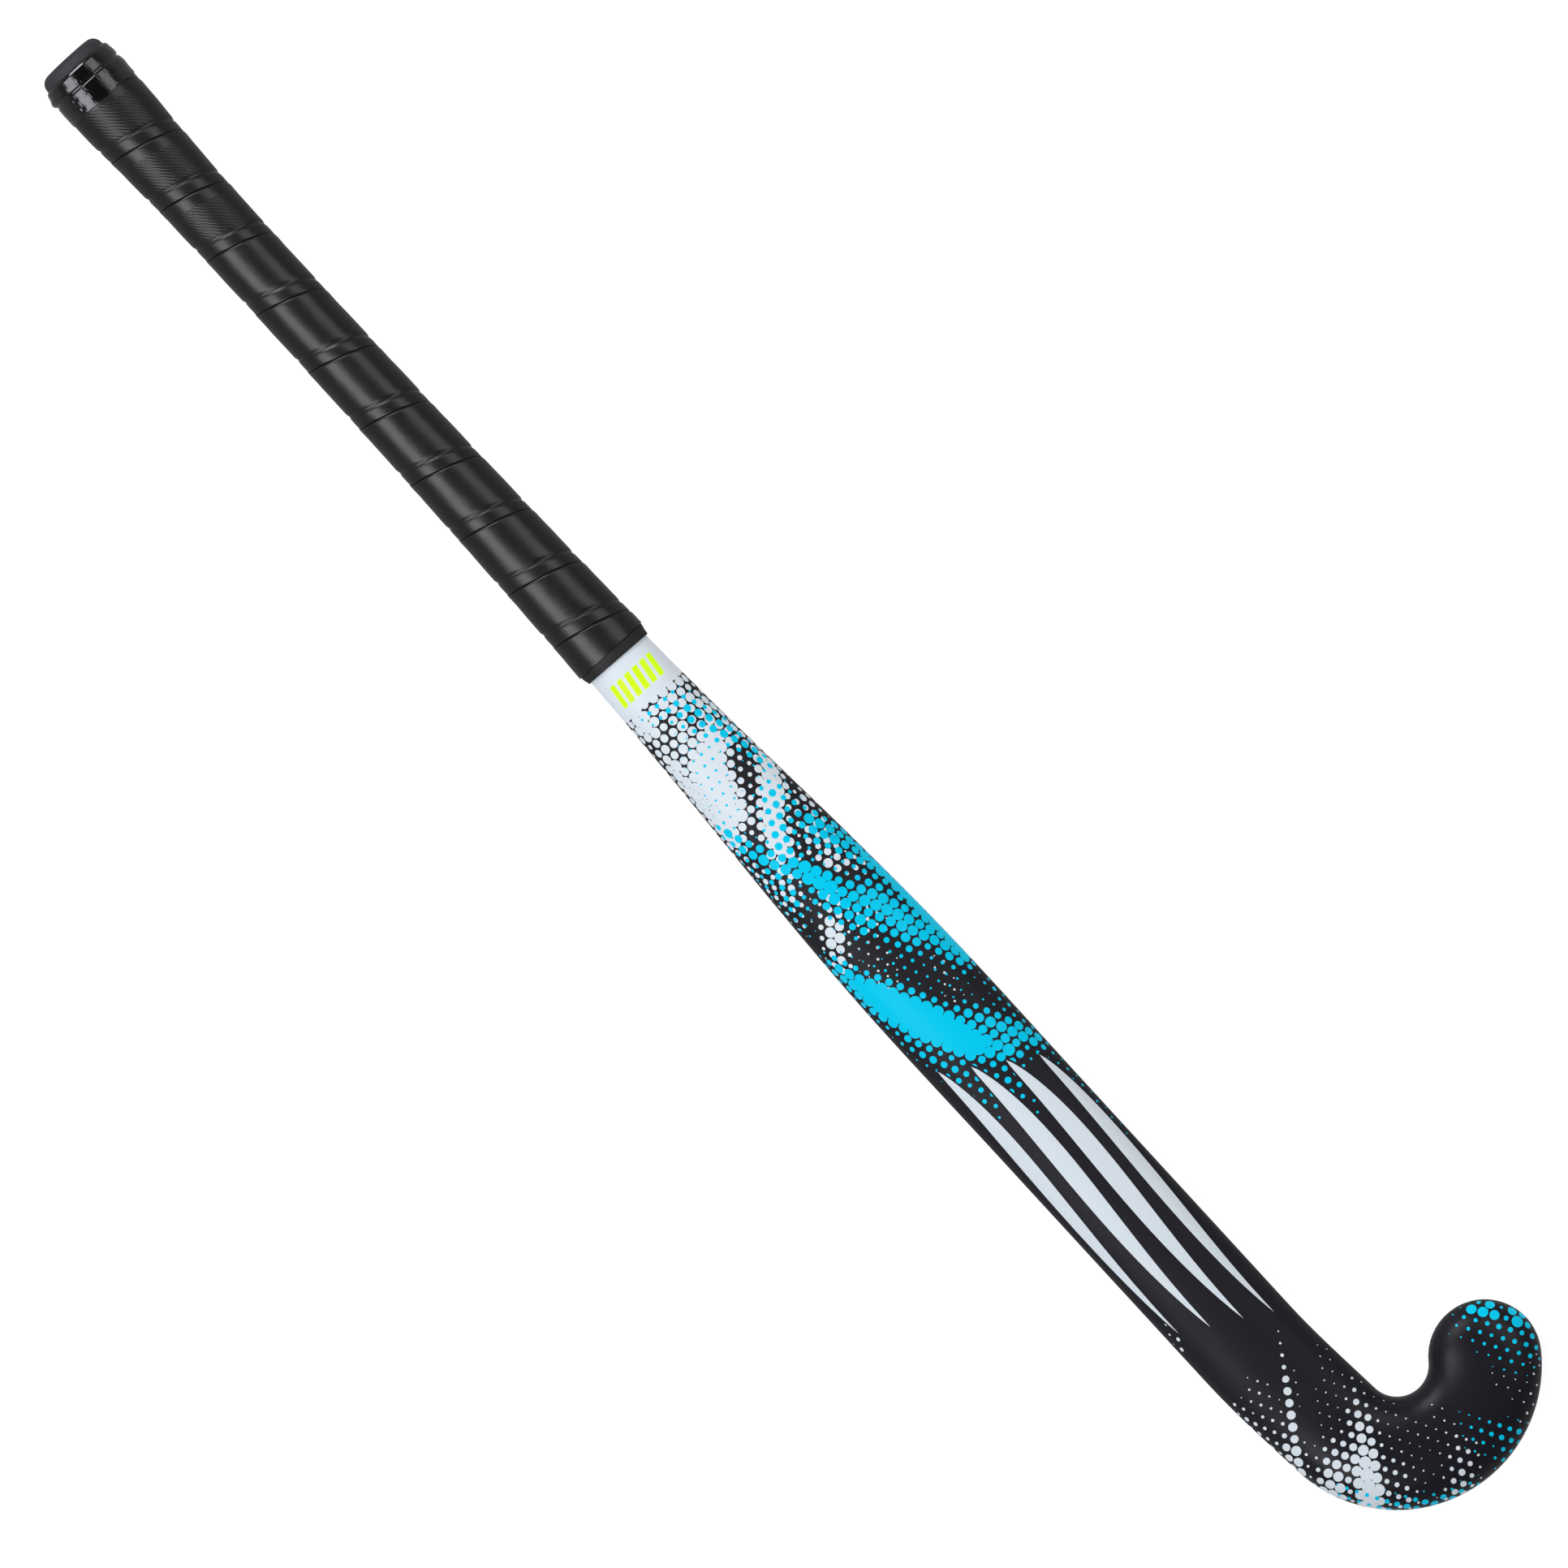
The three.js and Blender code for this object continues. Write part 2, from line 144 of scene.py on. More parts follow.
def curve_through(points):
    """A smooth function through (place, value) points, flat outside them."""
    places, values = np.array(points, float).T
    slopes = np.diff(values) / np.diff(places)
    middles = (slopes[1:] + slopes[:-1]) / 2
    tangents = np.concatenate([slopes[:1], middles, slopes[-1:]])

    def value_at(place):
        place = np.clip(place, places[0], places[-1])
        i = np.clip(np.searchsorted(places, place, side="right") - 1, 0, len(slopes) - 1)
        step = places[i + 1] - places[i]
        t = (place - places[i]) / step
        from_values = (1 + 2 * t) * (1 - t) ** 2 * values[i] + t * t * (3 - 2 * t) * values[i + 1]
        from_slopes = t * (1 - t) ** 2 * tangents[i] + t * t * (t - 1) * tangents[i + 1]
        return from_values + from_slopes * step

    return value_at


half_width_at = curve_through(HALF_WIDTH_POINTS)
thickness_at = curve_through(THICKNESS_POINTS)


def in_row(points):
    """Stick millimetres to the row frame's metres."""
    return np.asarray(points, float) * MM + np.array([BUTT[0], BUTT[1], 0.0])


# ---- The centre line ----


def hook_point(angle):
    return HOOK_CENTRE + HOOK_RADIUS * direction(angle)


def bend_points(count=2001):
    """The Bezier curve between the straight shaft and the hook's arc."""
    meet = hook_point(HOOK_START)
    start = np.array([SHAFT_END, 0.0])
    reach = (meet[0] - SHAFT_END) / 3
    heading = np.array([-math.sin(HOOK_START), math.cos(HOOK_START)])
    corners = [start, start + [reach, 0], meet - heading * reach, meet]
    return bezier(corners, np.linspace(0, 1, count))


BEND = bend_points()
BEND_STEPS = np.linalg.norm(np.diff(BEND, axis=0), axis=1)
BEND_PLACES = np.concatenate([[0], np.cumsum(BEND_STEPS)])
BEND_LENGTH = BEND_PLACES[-1]
BEND_HEADINGS = np.unwrap(np.arctan2(*np.gradient(BEND, axis=0).T[::-1]))
ARC_FROM = SHAFT_END + BEND_LENGTH
LINE_LENGTH = ARC_FROM + HOOK_RADIUS * (HOOK_END - HOOK_START)


def centre_at(distance):
    """Points and headings of the centre line, which runs straight on past both ends."""
    distance = np.asarray(distance, float)
    along = np.clip(distance, 0, LINE_LENGTH)
    angle = HOOK_START + np.maximum(along - ARC_FROM, 0) / HOOK_RADIUS
    arc = hook_point(angle)
    bend = np.stack([np.interp(along - SHAFT_END, BEND_PLACES, BEND[:, i]) for i in (0, 1)], -1)
    shaft = np.stack([along, np.zeros_like(along)], -1)
    bend_turn = np.interp(along - SHAFT_END, BEND_PLACES, BEND_HEADINGS)
    turned = np.where(along < ARC_FROM, bend_turn, angle + math.pi / 2)
    heading = direction(np.where(along < SHAFT_END, 0, turned))
    on_bend = (along >= SHAFT_END)[..., None]
    on_arc = (along >= ARC_FROM)[..., None]
    point = np.where(on_arc, arc, np.where(on_bend, bend, shaft))
    return point + heading * (distance - along)[..., None], heading


def to_toe_side(heading):
    """The sideways direction that points to the toe's side of the line."""
    return np.stack([-heading[..., 1], heading[..., 0]], -1)


def face_height(x):
    """Height of the flat playing face above the ground: the stick's bow."""
    u = np.clip((FLAT_FROM - x) / FLAT_FROM, 0, 1)
    arch = (1 - u) ** BOW_POWER * u * u / (u + BOW_SOFTNESS)
    return BUTT_LIFT * u * u + BOW_HEIGHT * arch / BOW_PEAK


def raised(plan, line_x, up=0):
    """Plan points at a height above the flat face, where the centre line's x is line_x."""
    return np.concatenate([plan, (face_height(line_x) + up)[..., None]], -1)


# ---- The cross-section ----
# A share says how far round the half section a point is: 0 is the crest of the back, 1 the side,
# 2 where the rounded corner meets the flat face, and 3 the middle of the flat face.


def section_sizes(distance):
    """Half width, thickness, height of the widest place, corner size and crown power."""
    flatness = smooth(280, 480, distance)
    headness = smooth(700, 800, distance)
    half = half_width_at(distance)
    thickness = thickness_at(distance)
    low = blend(thickness * 0.5, 6, flatness)
    corner = blend(half * 0.82, 5, flatness)
    crown = blend(2.1, 2.2, flatness) + 0.3 * headness
    return half, thickness, low, corner, crown


def section_at(distance, share, inset=0.0):
    """A point of the section: how far across, and how far up from the flat face."""
    half, thickness, low, corner, crown = section_sizes(distance)
    half = half - inset
    corner = np.minimum(corner - inset, half)
    upper = thickness - low - inset
    lower = low - inset
    angle = np.clip(1 - share, 0, 1) * math.pi / 2
    bend = np.clip(share - 1, 0, 1) * math.pi / 2
    back_across = half * np.cos(angle) ** (2 / crown)
    back_up = low + upper * np.sin(angle) ** (2 / crown)
    face_across = (half - corner) * np.clip(3 - share, 0, 1) + corner * np.cos(bend)
    face_up = low - lower * np.sin(bend)
    on_back = share <= 1
    return np.where(on_back, back_across, face_across), np.where(on_back, back_up, face_up)


def stick_point(distance, side, share, inset=0.0):
    """A point of the stick's surface, in stick millimetres. side is 1 towards the toe's side."""
    middle, heading = centre_at(distance)
    across, up = section_at(distance, share, inset)
    plan = middle + to_toe_side(heading) * (side * across)[..., None]
    return raised(plan, middle[..., 0], up)


# ---- The film ----

TABLE_PLACES = np.linspace(0, LINE_LENGTH, 450)
TABLE_SHARES = np.linspace(0, 2, 81)
HOOK_SQUEEZE = 0.25 # how much the film's edge is drawn in, so that it can't fold in the notch


def length_table():
    """How long the section is from the crest to each share, at each place along the stick."""
    across, up = section_at(TABLE_PLACES[:, None], TABLE_SHARES[None, :])
    steps = np.hypot(np.diff(across), np.diff(up))
    return np.concatenate([np.zeros((len(steps), 1)), np.cumsum(steps, axis=1)], axis=1)


LENGTHS = length_table()
RIM_FROM_EDGE = 3.0 # how far from the plan's edge the groove on the hook's inner side is
RIM_WIDTH = 0.6
RIM_DEPTH = 0.3


def full_length(distance):
    return np.interp(distance, TABLE_PLACES, LENGTHS[:, -1])


def squeeze_at(distance):
    return HOOK_SQUEEZE * smooth(720, 800, distance)


def reach_of_length(distance, length):
    """How far from the film's centre line a point is that lies this far round the section."""
    return length * (1 - squeeze_at(distance) * (length / full_length(distance)) ** 2)


def length_of_reach(distance, reach):
    """The opposite of reach_of_length, by Newton's method."""
    full = full_length(distance)
    squeeze = squeeze_at(distance)
    edge = full * (1 - squeeze)
    wanted = np.minimum(reach, edge)
    length = wanted.copy()
    for _ in range(8):
        ratio = (length / full) ** 2
        length += (wanted - length * (1 - squeeze * ratio)) / (1 - 3 * squeeze * ratio)
    return length + np.maximum(reach - edge, 0)


def share_of_length(distance, length):
    """The share at this length round the section."""
    place = np.clip(distance / TABLE_PLACES[1], 0, len(TABLE_PLACES) - 1.001)
    row = place.astype(int)
    part = (place - row)[:, None]
    lengths = LENGTHS[row] * (1 - part) + LENGTHS[row + 1] * part
    column = np.clip((lengths <= length[:, None]).sum(1) - 1, 0, len(TABLE_SHARES) - 2)
    each = np.arange(len(length))
    low = lengths[each, column]
    high = lengths[each, column + 1]
    step = TABLE_SHARES[1]
    share = TABLE_SHARES[column] + step * (length - low) / (high - low)
    half, _, _, corner, _ = section_sizes(distance)
    past = 2 + (length - lengths[:, -1]) / np.maximum(half - corner, 1)
    return np.where(length > lengths[:, -1], past, share)


SCAN = np.linspace(SHAFT_END - 12, LINE_LENGTH, 420)
SCAN_POINTS = centre_at(SCAN)[0]


def nearest_place(spots):
    """How far along the centre line its nearest point to each spot lies."""
    place = spots[:, 0].copy()
    curved = np.flatnonzero(place > SHAFT_END - 5)
    near = spots[curved]
    gaps = ((near[:, None, :] - SCAN_POINTS) ** 2).sum(-1)
    start = SCAN[gaps.argmin(1)]
    step = SCAN[1] - SCAN[0]
    low = start - step
    high = start + step
    ahead_low = ahead_of(near, low)
    ahead_high = ahead_of(near, high)
    for _ in range(4):
        fall = ahead_low - ahead_high
        guess = low + (high - low) * ahead_low / np.where(np.abs(fall) < 1e-11, 1, fall)
        guess = np.clip(guess, start - step, start + step)
        ahead = ahead_of(near, guess)
        forward = ahead > 0
        low = np.where(forward, guess, low)
        ahead_low = np.where(forward, ahead, ahead_low)
        high = np.where(forward, high, guess)
        ahead_high = np.where(forward, ahead_high, ahead)
    place[curved] = np.minimum(guess, LINE_LENGTH)
    return place


def ahead_of(spots, place):
    """How far ahead of the centre line's point each spot is."""
    middle, heading = centre_at(place)
    ahead = ((spots - middle) * heading).sum(-1)
    return np.where(np.abs(ahead) < 1e-12, 1e-12, ahead)


def outward(spots):
    """For each spot: its place, the centre line's point there, the way out and how far out."""
    place = nearest_place(spots)
    middle, heading = centre_at(place)
    offset = spots - middle
    side = to_toe_side(heading)
    across = (offset * side).sum(-1)
    past_end = (place >= LINE_LENGTH - 1e-6) & ((offset * heading).sum(-1) > 0)
    distance = np.linalg.norm(offset, axis=-1)
    reach = np.where(past_end, distance, np.abs(across))
    around = offset / np.maximum(distance, 1e-9)[:, None]
    straight = side * np.where(across < 0, -1.0, 1.0)[:, None]
    return place, middle, np.where(past_end[:, None], around, straight), reach


def rim_groove(place, way, across, share):
    """The depth of a shallow groove beside the hook's inner edge, which runs on round the toe."""
    from_edge = half_width_at(place) - across
    toe_side = (way * to_toe_side(centre_at(place)[1])).sum(-1)
    strength = smooth(ARC_FROM - 4, ARC_FROM + 16, place) * smooth(0, 0.6, toe_side)
    depth = RIM_DEPTH * hump(from_edge - RIM_FROM_EDGE, RIM_WIDTH)
    return np.where(share < 1, depth * strength, 0)


def rim_fraction(place, from_edge):
    """The part of the way to the film's edge at which a point is this far from the plan's edge."""
    half, _, _, _, crown = section_sizes(place)
    share = 1 - np.arccos((1 - from_edge / half) ** (crown / 2)) / (math.pi / 2)
    lengths = LENGTHS[int(round(place / TABLE_PLACES[1]))]
    return np.interp(share, TABLE_SHARES, lengths) / lengths[-1]


def lift(spots):
    """Film points to points of the stick's surface, in stick millimetres."""
    place, middle, way, reach = outward(spots)
    share = share_of_length(place, length_of_reach(place, reach))
    across, up = section_at(place, share)
    up = up - rim_groove(place, way, across, share)
    return raised(middle + way * across[:, None], middle[:, 0], up)


def lifted_normals(spots, step=0.05):
    """The surface's directions outwards at film points."""
    ahead = lift(spots + [step, 0]) - lift(spots - [step, 0])
    aside = lift(spots + [0, step]) - lift(spots - [0, step])
    return unit(np.cross(ahead, aside))


# ---- The printed pattern, drawn on the film ----

BLACK, WHITE, CYAN, GAP_LINE, MARK, LIME, BARE = range(7)
COLLAR_TO = 373.5 # the plain pale band beside the grip ends here
COLLAR_LINE_REACH = 60 # past both of the film's edges
HAIRLINE = 0.01
EDGE_CLEAR = 0.4 # dots keep this far from the film's edge
SMALLEST_DOT = 0.23
STRADDLE = 2.2 # how far inside the pale band the first white dots may have their centres

# Dots lie in rows: (one dot's place, the step to the next column, the step to the next row).
WHITE_ROWS = ((382.4, 2.6), (4.44, 1.52), (0.66, 4.83))
CYAN_ROWS = ((377, -1.5), (4.68, 2.3), (0, 4.6))
HEAD_ROWS = ((796.1, 20), (4.33, -2.9), (0.35, -5.1))
TOE_ROWS = ((804.8, 80.8), (4.8, -2.0), (0.5, -4.7))
HEAD_CYAN_SHIFT = (1.9, 2.2)
TOE_WHITE_SHIFT = (2.0, -2.0)
PATTERN_SPLIT = 700 # the shaft's dots end here and the head's begin

# A stroke is (from, to, first radius, last radius, width): dots near the line between its two
# points have about these radii, which fall off over the width.
WHITE_SHAFT = [
    ((374, 16), (380, -18), 2.4, 2.35, 10),
    ((384, 13), (404, 12), 2.4, 2.3, 7),
    ((374, -11), (385, -12), 3.1, 2.9, 6),
    ((380, 6), (400, -4), 2.2, 2.4, 13),
    ((380, -9), (400, -15), 2.2, 2.25, 9),
    ((402, 8), (412, -4), 2.7, 3.3, 13),
    ((412, -4), (432, -10), 3.3, 3.2, 12),
    ((432, -12), (442, -19), 3.0, 2.7, 8),
    ((402, -16), (434, -19), 2.9, 2.8, 7),
    ((386, 19), (428, 22), 2.2, 2.3, 5),
    ((440, -20), (486, -21), 1.6, 1.2, 6),
    ((426, 20), (436, 12), 2.9, 3.3, 8),
    ((436, 12), (447, 1), 3.3, 2.9, 8),
    ((447, 1), (458, -4), 3.0, 2.9, 7.5),
    ((448, 22), (460, 18), 2.0, 1.7, 6),
    ((450, 15), (470, 6), 1.8, 1.5, 5),
    ((470, 14), (478, 8), 1.6, 2.2, 6),
    ((478, 8), (486, 18), 2.1, 1.4, 5),
    ((464, -10), (478, -16), 1.8, 1.5, 7),
    ((486, -2), (496, -6), 1.5, 1.3, 6),
    ((496, -9), (504, -15), 2.5, 2.7, 6),
    ((504, -15), (516, -22), 2.5, 1.4, 6),
    ((505, 2), (530, -8), 0.8, 0.5, 9),
    ((540, 14), (556, 8), 0.6, 0.5, 5),
    ((420, 15), (424, 10), 0.9, 1.1, 8),
]
CYAN_SHAFT = [
    ((376, -6), (382, 6), 1.0, 1.3, 8),
    ((386, 6), (404, 14), 1.65, 2.0, 9),
    ((440, 12), (468, 12), 1.35, 1.8, 7),
    ((402, 15), (426, 19), 2.0, 1.7, 6),
    ((405, 0), (430, -10), 0.7, 0.6, 12),
    ((438, 10), (458, -2), 1.7, 1.8, 8),
    ((440, -21), (490, -22), 1.3, 1.0, 5),
    ((458, 15), (478, 19), 2.5, 2.3, 7),
    ((478, 19), (496, 24), 2.1, 1.9, 7),
    ((436, -19), (452, -14), 2.3, 2.4, 4.5),
    ((452, -14), (468, -6), 2.4, 2.6, 5.5),
    ((468, -4), (484, 1), 3.1, 3.1, 5),
    ((484, -1), (500, 8), 2.5, 2.45, 9),
    ((500, 10), (522, 16), 2.45, 2.5, 13),
    ((522, 18), (545, 24), 2.5, 2.2, 8),
    ((468, 24), (505, 27), 2.5, 3.6, 4.5),
    ((505, 27), (546, 28), 3.6, 3.3, 5),
    ((462, -13), (480, -16), 1.6, 1.5, 8),
    ((484, -2), (505, 1), 2.3, 2.3, 8),
    ((512, -24), (532, -18), 2.2, 3.5, 8),
    ((532, -18), (556, -8), 3.5, 4.0, 10),
    ((556, -8), (576, 1), 4.0, 3.6, 9),
    ((576, 1), (587, 10), 3.0, 2.5, 9),
    ((564, 5), (580, 16), 2.0, 2.4, 8),
    ((583, 18), (592, 24), 2.5, 2.4, 7),
    ((556, -20), (584, -12), 1.8, 1.5, 6),
    ((582, -6), (602, -13), 1.5, 1.0, 6),
    ((595, 2), (612, -2), 1.6, 0.8, 8),
    ((560, 26), (648, 26), 1.2, 0.5, 4),
    ((530, 0), (550, 12), 0.7, 0.6, 10),
]
WHITE_HEAD = [
    ((754, 16), (772, 3), 0.5, 1.3, 2.4),
    ((772, 3), (797, -17), 1.5, 2.5, 3.0),
    ((797, -17), (808, -24), 2.5, 2.4, 5),
    ((792, 22), (806, 14), 0.7, 1.7, 5),
    ((806, 14), (820, 4), 1.8, 2.6, 7),
    ((820, 4), (834, -5), 2.7, 3.2, 8),
    ((834, -5), (846, -14), 3.2, 2.6, 7),
    ((812, -2), (824, -20), 1.7, 2.8, 9),
    ((767, -10), (792, -23), 0.6, 1.0, 7.5),
    ((768, -23), (800, -27), 1.0, 1.7, 5),
    ((722, -21), (732, -25), 1.1, 1.3, 3),
    ((830, 12), (846, 4), 0.9, 1.4, 7),
    ((826, 43), (838, 39), 0.35, 0.6, 4),
    ((838, 39), (848, 35), 0.7, 1.0, 5),
    ((848, 36), (862, 22), 1.2, 1.7, 8),
    ((776, 22), (798, 4), 0.38, 0.4, 8),
    ((806, 22), (832, 30), 0.36, 0.4, 8),
    ((816, 17), (842, 16), 0.4, 0.45, 8),
    ((826, 40), (842, 30), 0.35, 0.4, 8),
]
CYAN_HEAD = [
    ((826, -13), (842, -4), 0.95, 1.2, 6),
    ((842, -6), (857, 12), 1.4, 1.8, 6),
    ((857, 12), (863, 30), 1.8, 1.2, 5),
    ((838, 46), (850, 44), 0.5, 0.8, 6),
    ((844, 48), (858, 58), 0.9, 1.5, 6),
    ((858, 58), (862, 46), 1.4, 1.1, 5),
]
CYAN_TOE = [
    ((805, 81), (812, 87), 2.4, 2.5, 3.6),
    ((808, 88), (809, 88.5), 2.2, 2.2, 2.0),
    ((817, 93), (822, 92), 2.4, 2.7, 3.2),
    ((821, 96.4), (822, 96.2), 1.7, 1.7, 2.0),
    ((826, 95), (838, 90), 1.6, 1.1, 4),
    ((808, 84), (836, 88), 1.25, 1.1, 8),
    ((808, 76), (834, 80), 0.9, 0.8, 8),
]
WHITE_TOE = [
    ((840, 88), (856, 66), 0.5, 0.7, 4.5),
    ((834, 68), (848, 74), 0.36, 0.42, 7),
]


def stroke_radius(spots, strokes):
    """The dot radius that the strokes give at each spot."""
    radius = np.zeros(len(spots))
    for start, end, first, last, width in strokes:
        line = np.subtract(end, start).astype(float)
        share = np.clip(((spots - start) @ line) / (line @ line), 0, 1)
        gap = np.linalg.norm(spots - (start + share[:, None] * line), axis=1)
        radius = np.maximum(radius, blend(first, last, share) * hump(gap, width))
    return radius


def unevenness(spots, amount=0.09):
    """A fixed, seemingly random factor near 1 for each spot."""
    wave = np.sin(spots @ np.array([12.9898, 78.233])) * 43758.5453
    return 1 + amount * (2 * (wave - np.floor(wave)) - 1)


def lattice(anchor, first, second, count):
    """Points in rows: anchor plus whole steps of two basis vectors."""
    i, j = np.meshgrid(np.arange(-count, count + 1), np.arange(-count, count + 1))
    steps = np.stack([i.ravel(), j.ravel()], -1)
    return np.array(anchor) + steps @ np.array([first, second])


def inside(spots, low, high, axis=0):
    """Spots whose x, or whose y on axis 1, lies between two values."""
    return spots[(spots[:, axis] > low) & (spots[:, axis] < high)]


def edge_room(spots):
    """How far each spot is from the film's edge."""
    place, _, _, reach = outward(spots)
    return reach_of_length(place, full_length(place)) - reach


def dots(sites, strokes, ink):
    """The visible dots at these sites, as (centre, radius, ink)."""
    radius = stroke_radius(sites, strokes) * unevenness(sites)
    room = edge_room(sites)
    keep = (radius > SMALLEST_DOT) & (room > radius + EDGE_CLEAR)
    return [(centre, size, ink) for centre, size in zip(sites[keep], radius[keep])]


def disc(centre, radius):
    """A round outline, with more corners when it is larger."""
    corners = 10 if radius < 0.8 else 14 if radius < 1.7 else 18
    angles = np.arange(corners) * 2 * math.pi / corners
    return centre + radius * direction(angles)


def all_dots():
    """Every printed dot of the shaft and the head."""
    whites = inside(lattice(*WHITE_ROWS, 140), COLLAR_TO - STRADDLE, PATTERN_SPLIT)
    cyans = inside(lattice(*CYAN_ROWS, 140), COLLAR_TO + 1, PATTERN_SPLIT)
    head = inside(inside(lattice(*HEAD_ROWS, 70), PATTERN_SPLIT, 900), -70, 200, axis=1)
    head = head[head[:, 1] < 62 + 0.3 * (head[:, 0] - 840)]
    toe = inside(inside(lattice(*TOE_ROWS, 40), 780, 1000), 60, 120, axis=1)
    return (
        dots(whites, WHITE_SHAFT, WHITE)
        + dots(cyans, CYAN_SHAFT, CYAN)
        + dots(head, WHITE_HEAD, WHITE)
        + dots(head + HEAD_CYAN_SHIFT, CYAN_HEAD, CYAN)
        + dots(toe, CYAN_TOE, CYAN)
        + dots(toe + TOE_WHITE_SHIFT, WHITE_TOE, WHITE)
    )


# The large graphic is four separate swept blades that lie side by side:
# (start, first handle, second handle, end, half width)
BLADES = [
    ((598, 19), (640, 25), (692, 14), (748, 18), 3.7),
    ((590, 6), (632, 13), (684, 1), (741, 6), 4.1),
    ((582, -7), (624, 0), (676, -12), (734, -7), 4.1),
    ((574, -20), (616, -14), (668, -25), (727, -20), 3.7),
]
BLADE_GAP = 0.9
BLADE_STEPS = 40
BARS = [(357.5, offset) for offset in (-11, -6.6, -2.2, 2.2, 6.6, 11)]


def blade(start, first, second, end, half_width, extra=0.0):
    """The outline of a curved blade with pointed ends."""
    u = np.linspace(0, 1, BLADE_STEPS + 1)
    line = bezier(np.array([start, first, second, end], float), u)
    heading = unit(np.gradient(line, axis=0))
    swell = (half_width * np.sin(math.pi * u**0.8) ** 0.85 + extra)[:, None]
    side = to_toe_side(heading)
    left = line + side * swell
    right = (line - side * swell)[::-1]
    if extra:
        left[0] -= heading[0] * extra
        left[-1] += heading[-1] * extra
        return np.concatenate([left, right])
    return np.concatenate([left, right[1:-1]])


def bar(x, y):
    """A short slanted bar."""
    return np.array([(x, y - 1.0), (x + 11, y - 2.6), (x + 11, y + 0.2), (x, y + 1.8)])


def collar_line(reach, steps=96):
    """A hairline across the stick where the pale band ends, with points close enough to bend."""
    offsets = np.linspace(-reach, reach, steps + 1)
    near = np.stack([np.full_like(offsets, COLLAR_TO), offsets], -1)
    return np.concatenate([near, near[::-1] + [HAIRLINE, 0]])


def film_drawing():
    """Every printed outline on the film with its ink, as (points, ink)."""
    shapes = [(collar_line(COLLAR_LINE_REACH), BLACK)]
    shapes += [(disc(centre, radius), ink) for centre, radius, ink in all_dots()]
    shapes += [(blade(*b, extra=BLADE_GAP), GAP_LINE) for b in BLADES]
    shapes += [(blade(*b), MARK) for b in BLADES]
    shapes += [(bar(x, y), LIME) for x, y in BARS]
    return shapes


# ---- The skin's mesh ----

ACROSS_STEPS = 14
HALF_FRACTIONS = 1 - (1 - np.linspace(0, 1, ACROSS_STEPS + 1)) ** 1.5 # closest at the corner
FRACTIONS = np.concatenate([-HALF_FRACTIONS[:0:-1], HALF_FRACTIONS])
CORNER_FROM = 0.75
FLAT_SHARES = np.linspace(0.5, -0.5, 3)


def film_rows():
    """Places along the stick where the film has a row of grid points."""
    under_grip = np.arange(BUTT_FROM, GRIP_TO - 4, 9.0)
    shaft = np.arange(GRIP_TO, SHAFT_END - 8, 4.7)
    head = np.linspace(SHAFT_END - 5, LINE_LENGTH, 58)
    return np.concatenate([under_grip, shaft, head])


def film_spot(place, side, fraction):
    """The film point at a fraction of the way from the centre line to the film's edge."""
    middle, heading = centre_at(place)
    reach = reach_of_length(place, full_length(place) * fraction)
    return middle + to_toe_side(heading) * (side * reach)[..., None]


def cap_spots(fractions, count=26):
    """Film points fanned round the toe's end, from the heel's side to the toe's side."""
    middle, heading = centre_at(LINE_LENGTH)
    turns = np.linspace(-math.pi / 2, math.pi / 2, count)[1:-1]
    aside = to_toe_side(heading)
    ways = np.cos(turns)[:, None] * heading + np.sin(turns)[:, None] * aside
    reach = reach_of_length(LINE_LENGTH, full_length(LINE_LENGTH) * fractions)
    return middle + ways[:, None, :] * reach[None, :, None]


def film_edge(rows):
    """The film's outline, anticlockwise from the butt's heel side. The butt's points are last."""
    heel = film_spot(rows, -1.0, 1.0)
    toe = film_spot(rows[::-1], 1.0, 1.0)
    cap = cap_spots(np.array([1.0]))[:, 0]
    inner = FRACTIONS[-2:0:-1]
    butt = film_spot(np.full(len(inner), rows[0]), 1.0, inner)
    return np.concatenate([heel, cap, toe, butt])


def grid_spots(places, fractions):
    place, fraction = np.meshgrid(places, fractions)
    return film_spot(place.ravel(), 1.0, fraction.ravel())


def film_grid(rows):
    """Grid points inside the film. They are closer together at the rounded corners."""
    body = grid_spots(rows[1:], FRACTIONS[1:-1])
    bare = rows[rows >= GRIP_TO]
    between = [bare[:-1] + np.diff(bare) * part for part in (1 / 3, 2 / 3)]
    corner_fractions = FRACTIONS[1:-1][np.abs(FRACTIONS[1:-1]) > CORNER_FROM]
    corners = grid_spots(np.concatenate(between), corner_fractions)
    cap = cap_spots(HALF_FRACTIONS[1:-1]).reshape(-1, 2)
    return np.concatenate([body, corners, cap, rim_spots(rows)])


def rim_spots(rows):
    """Closer points along the groove on the hook's inner side and round the toe."""
    head = rows[rows > ARC_FROM - 4]
    places = np.concatenate([head, (head[1:] + head[:-1]) / 2])
    gaps = RIM_FROM_EDGE + RIM_WIDTH * np.linspace(-1.8, 1.8, 9)
    toe = np.array([rim_fraction(LINE_LENGTH, gap) for gap in gaps])
    sides = [[film_spot(place, 1.0, rim_fraction(place, gap)) for place in places] for gap in gaps]
    return np.concatenate([np.array(sides).reshape(-1, 2), cap_spots(toe).reshape(-1, 2)])


def anticlockwise(outline):
    after = np.roll(outline, -1, axis=0)
    area = (outline[:, 0] * after[:, 1] - after[:, 0] * outline[:, 1]).sum()
    return outline if area > 0 else outline[::-1]


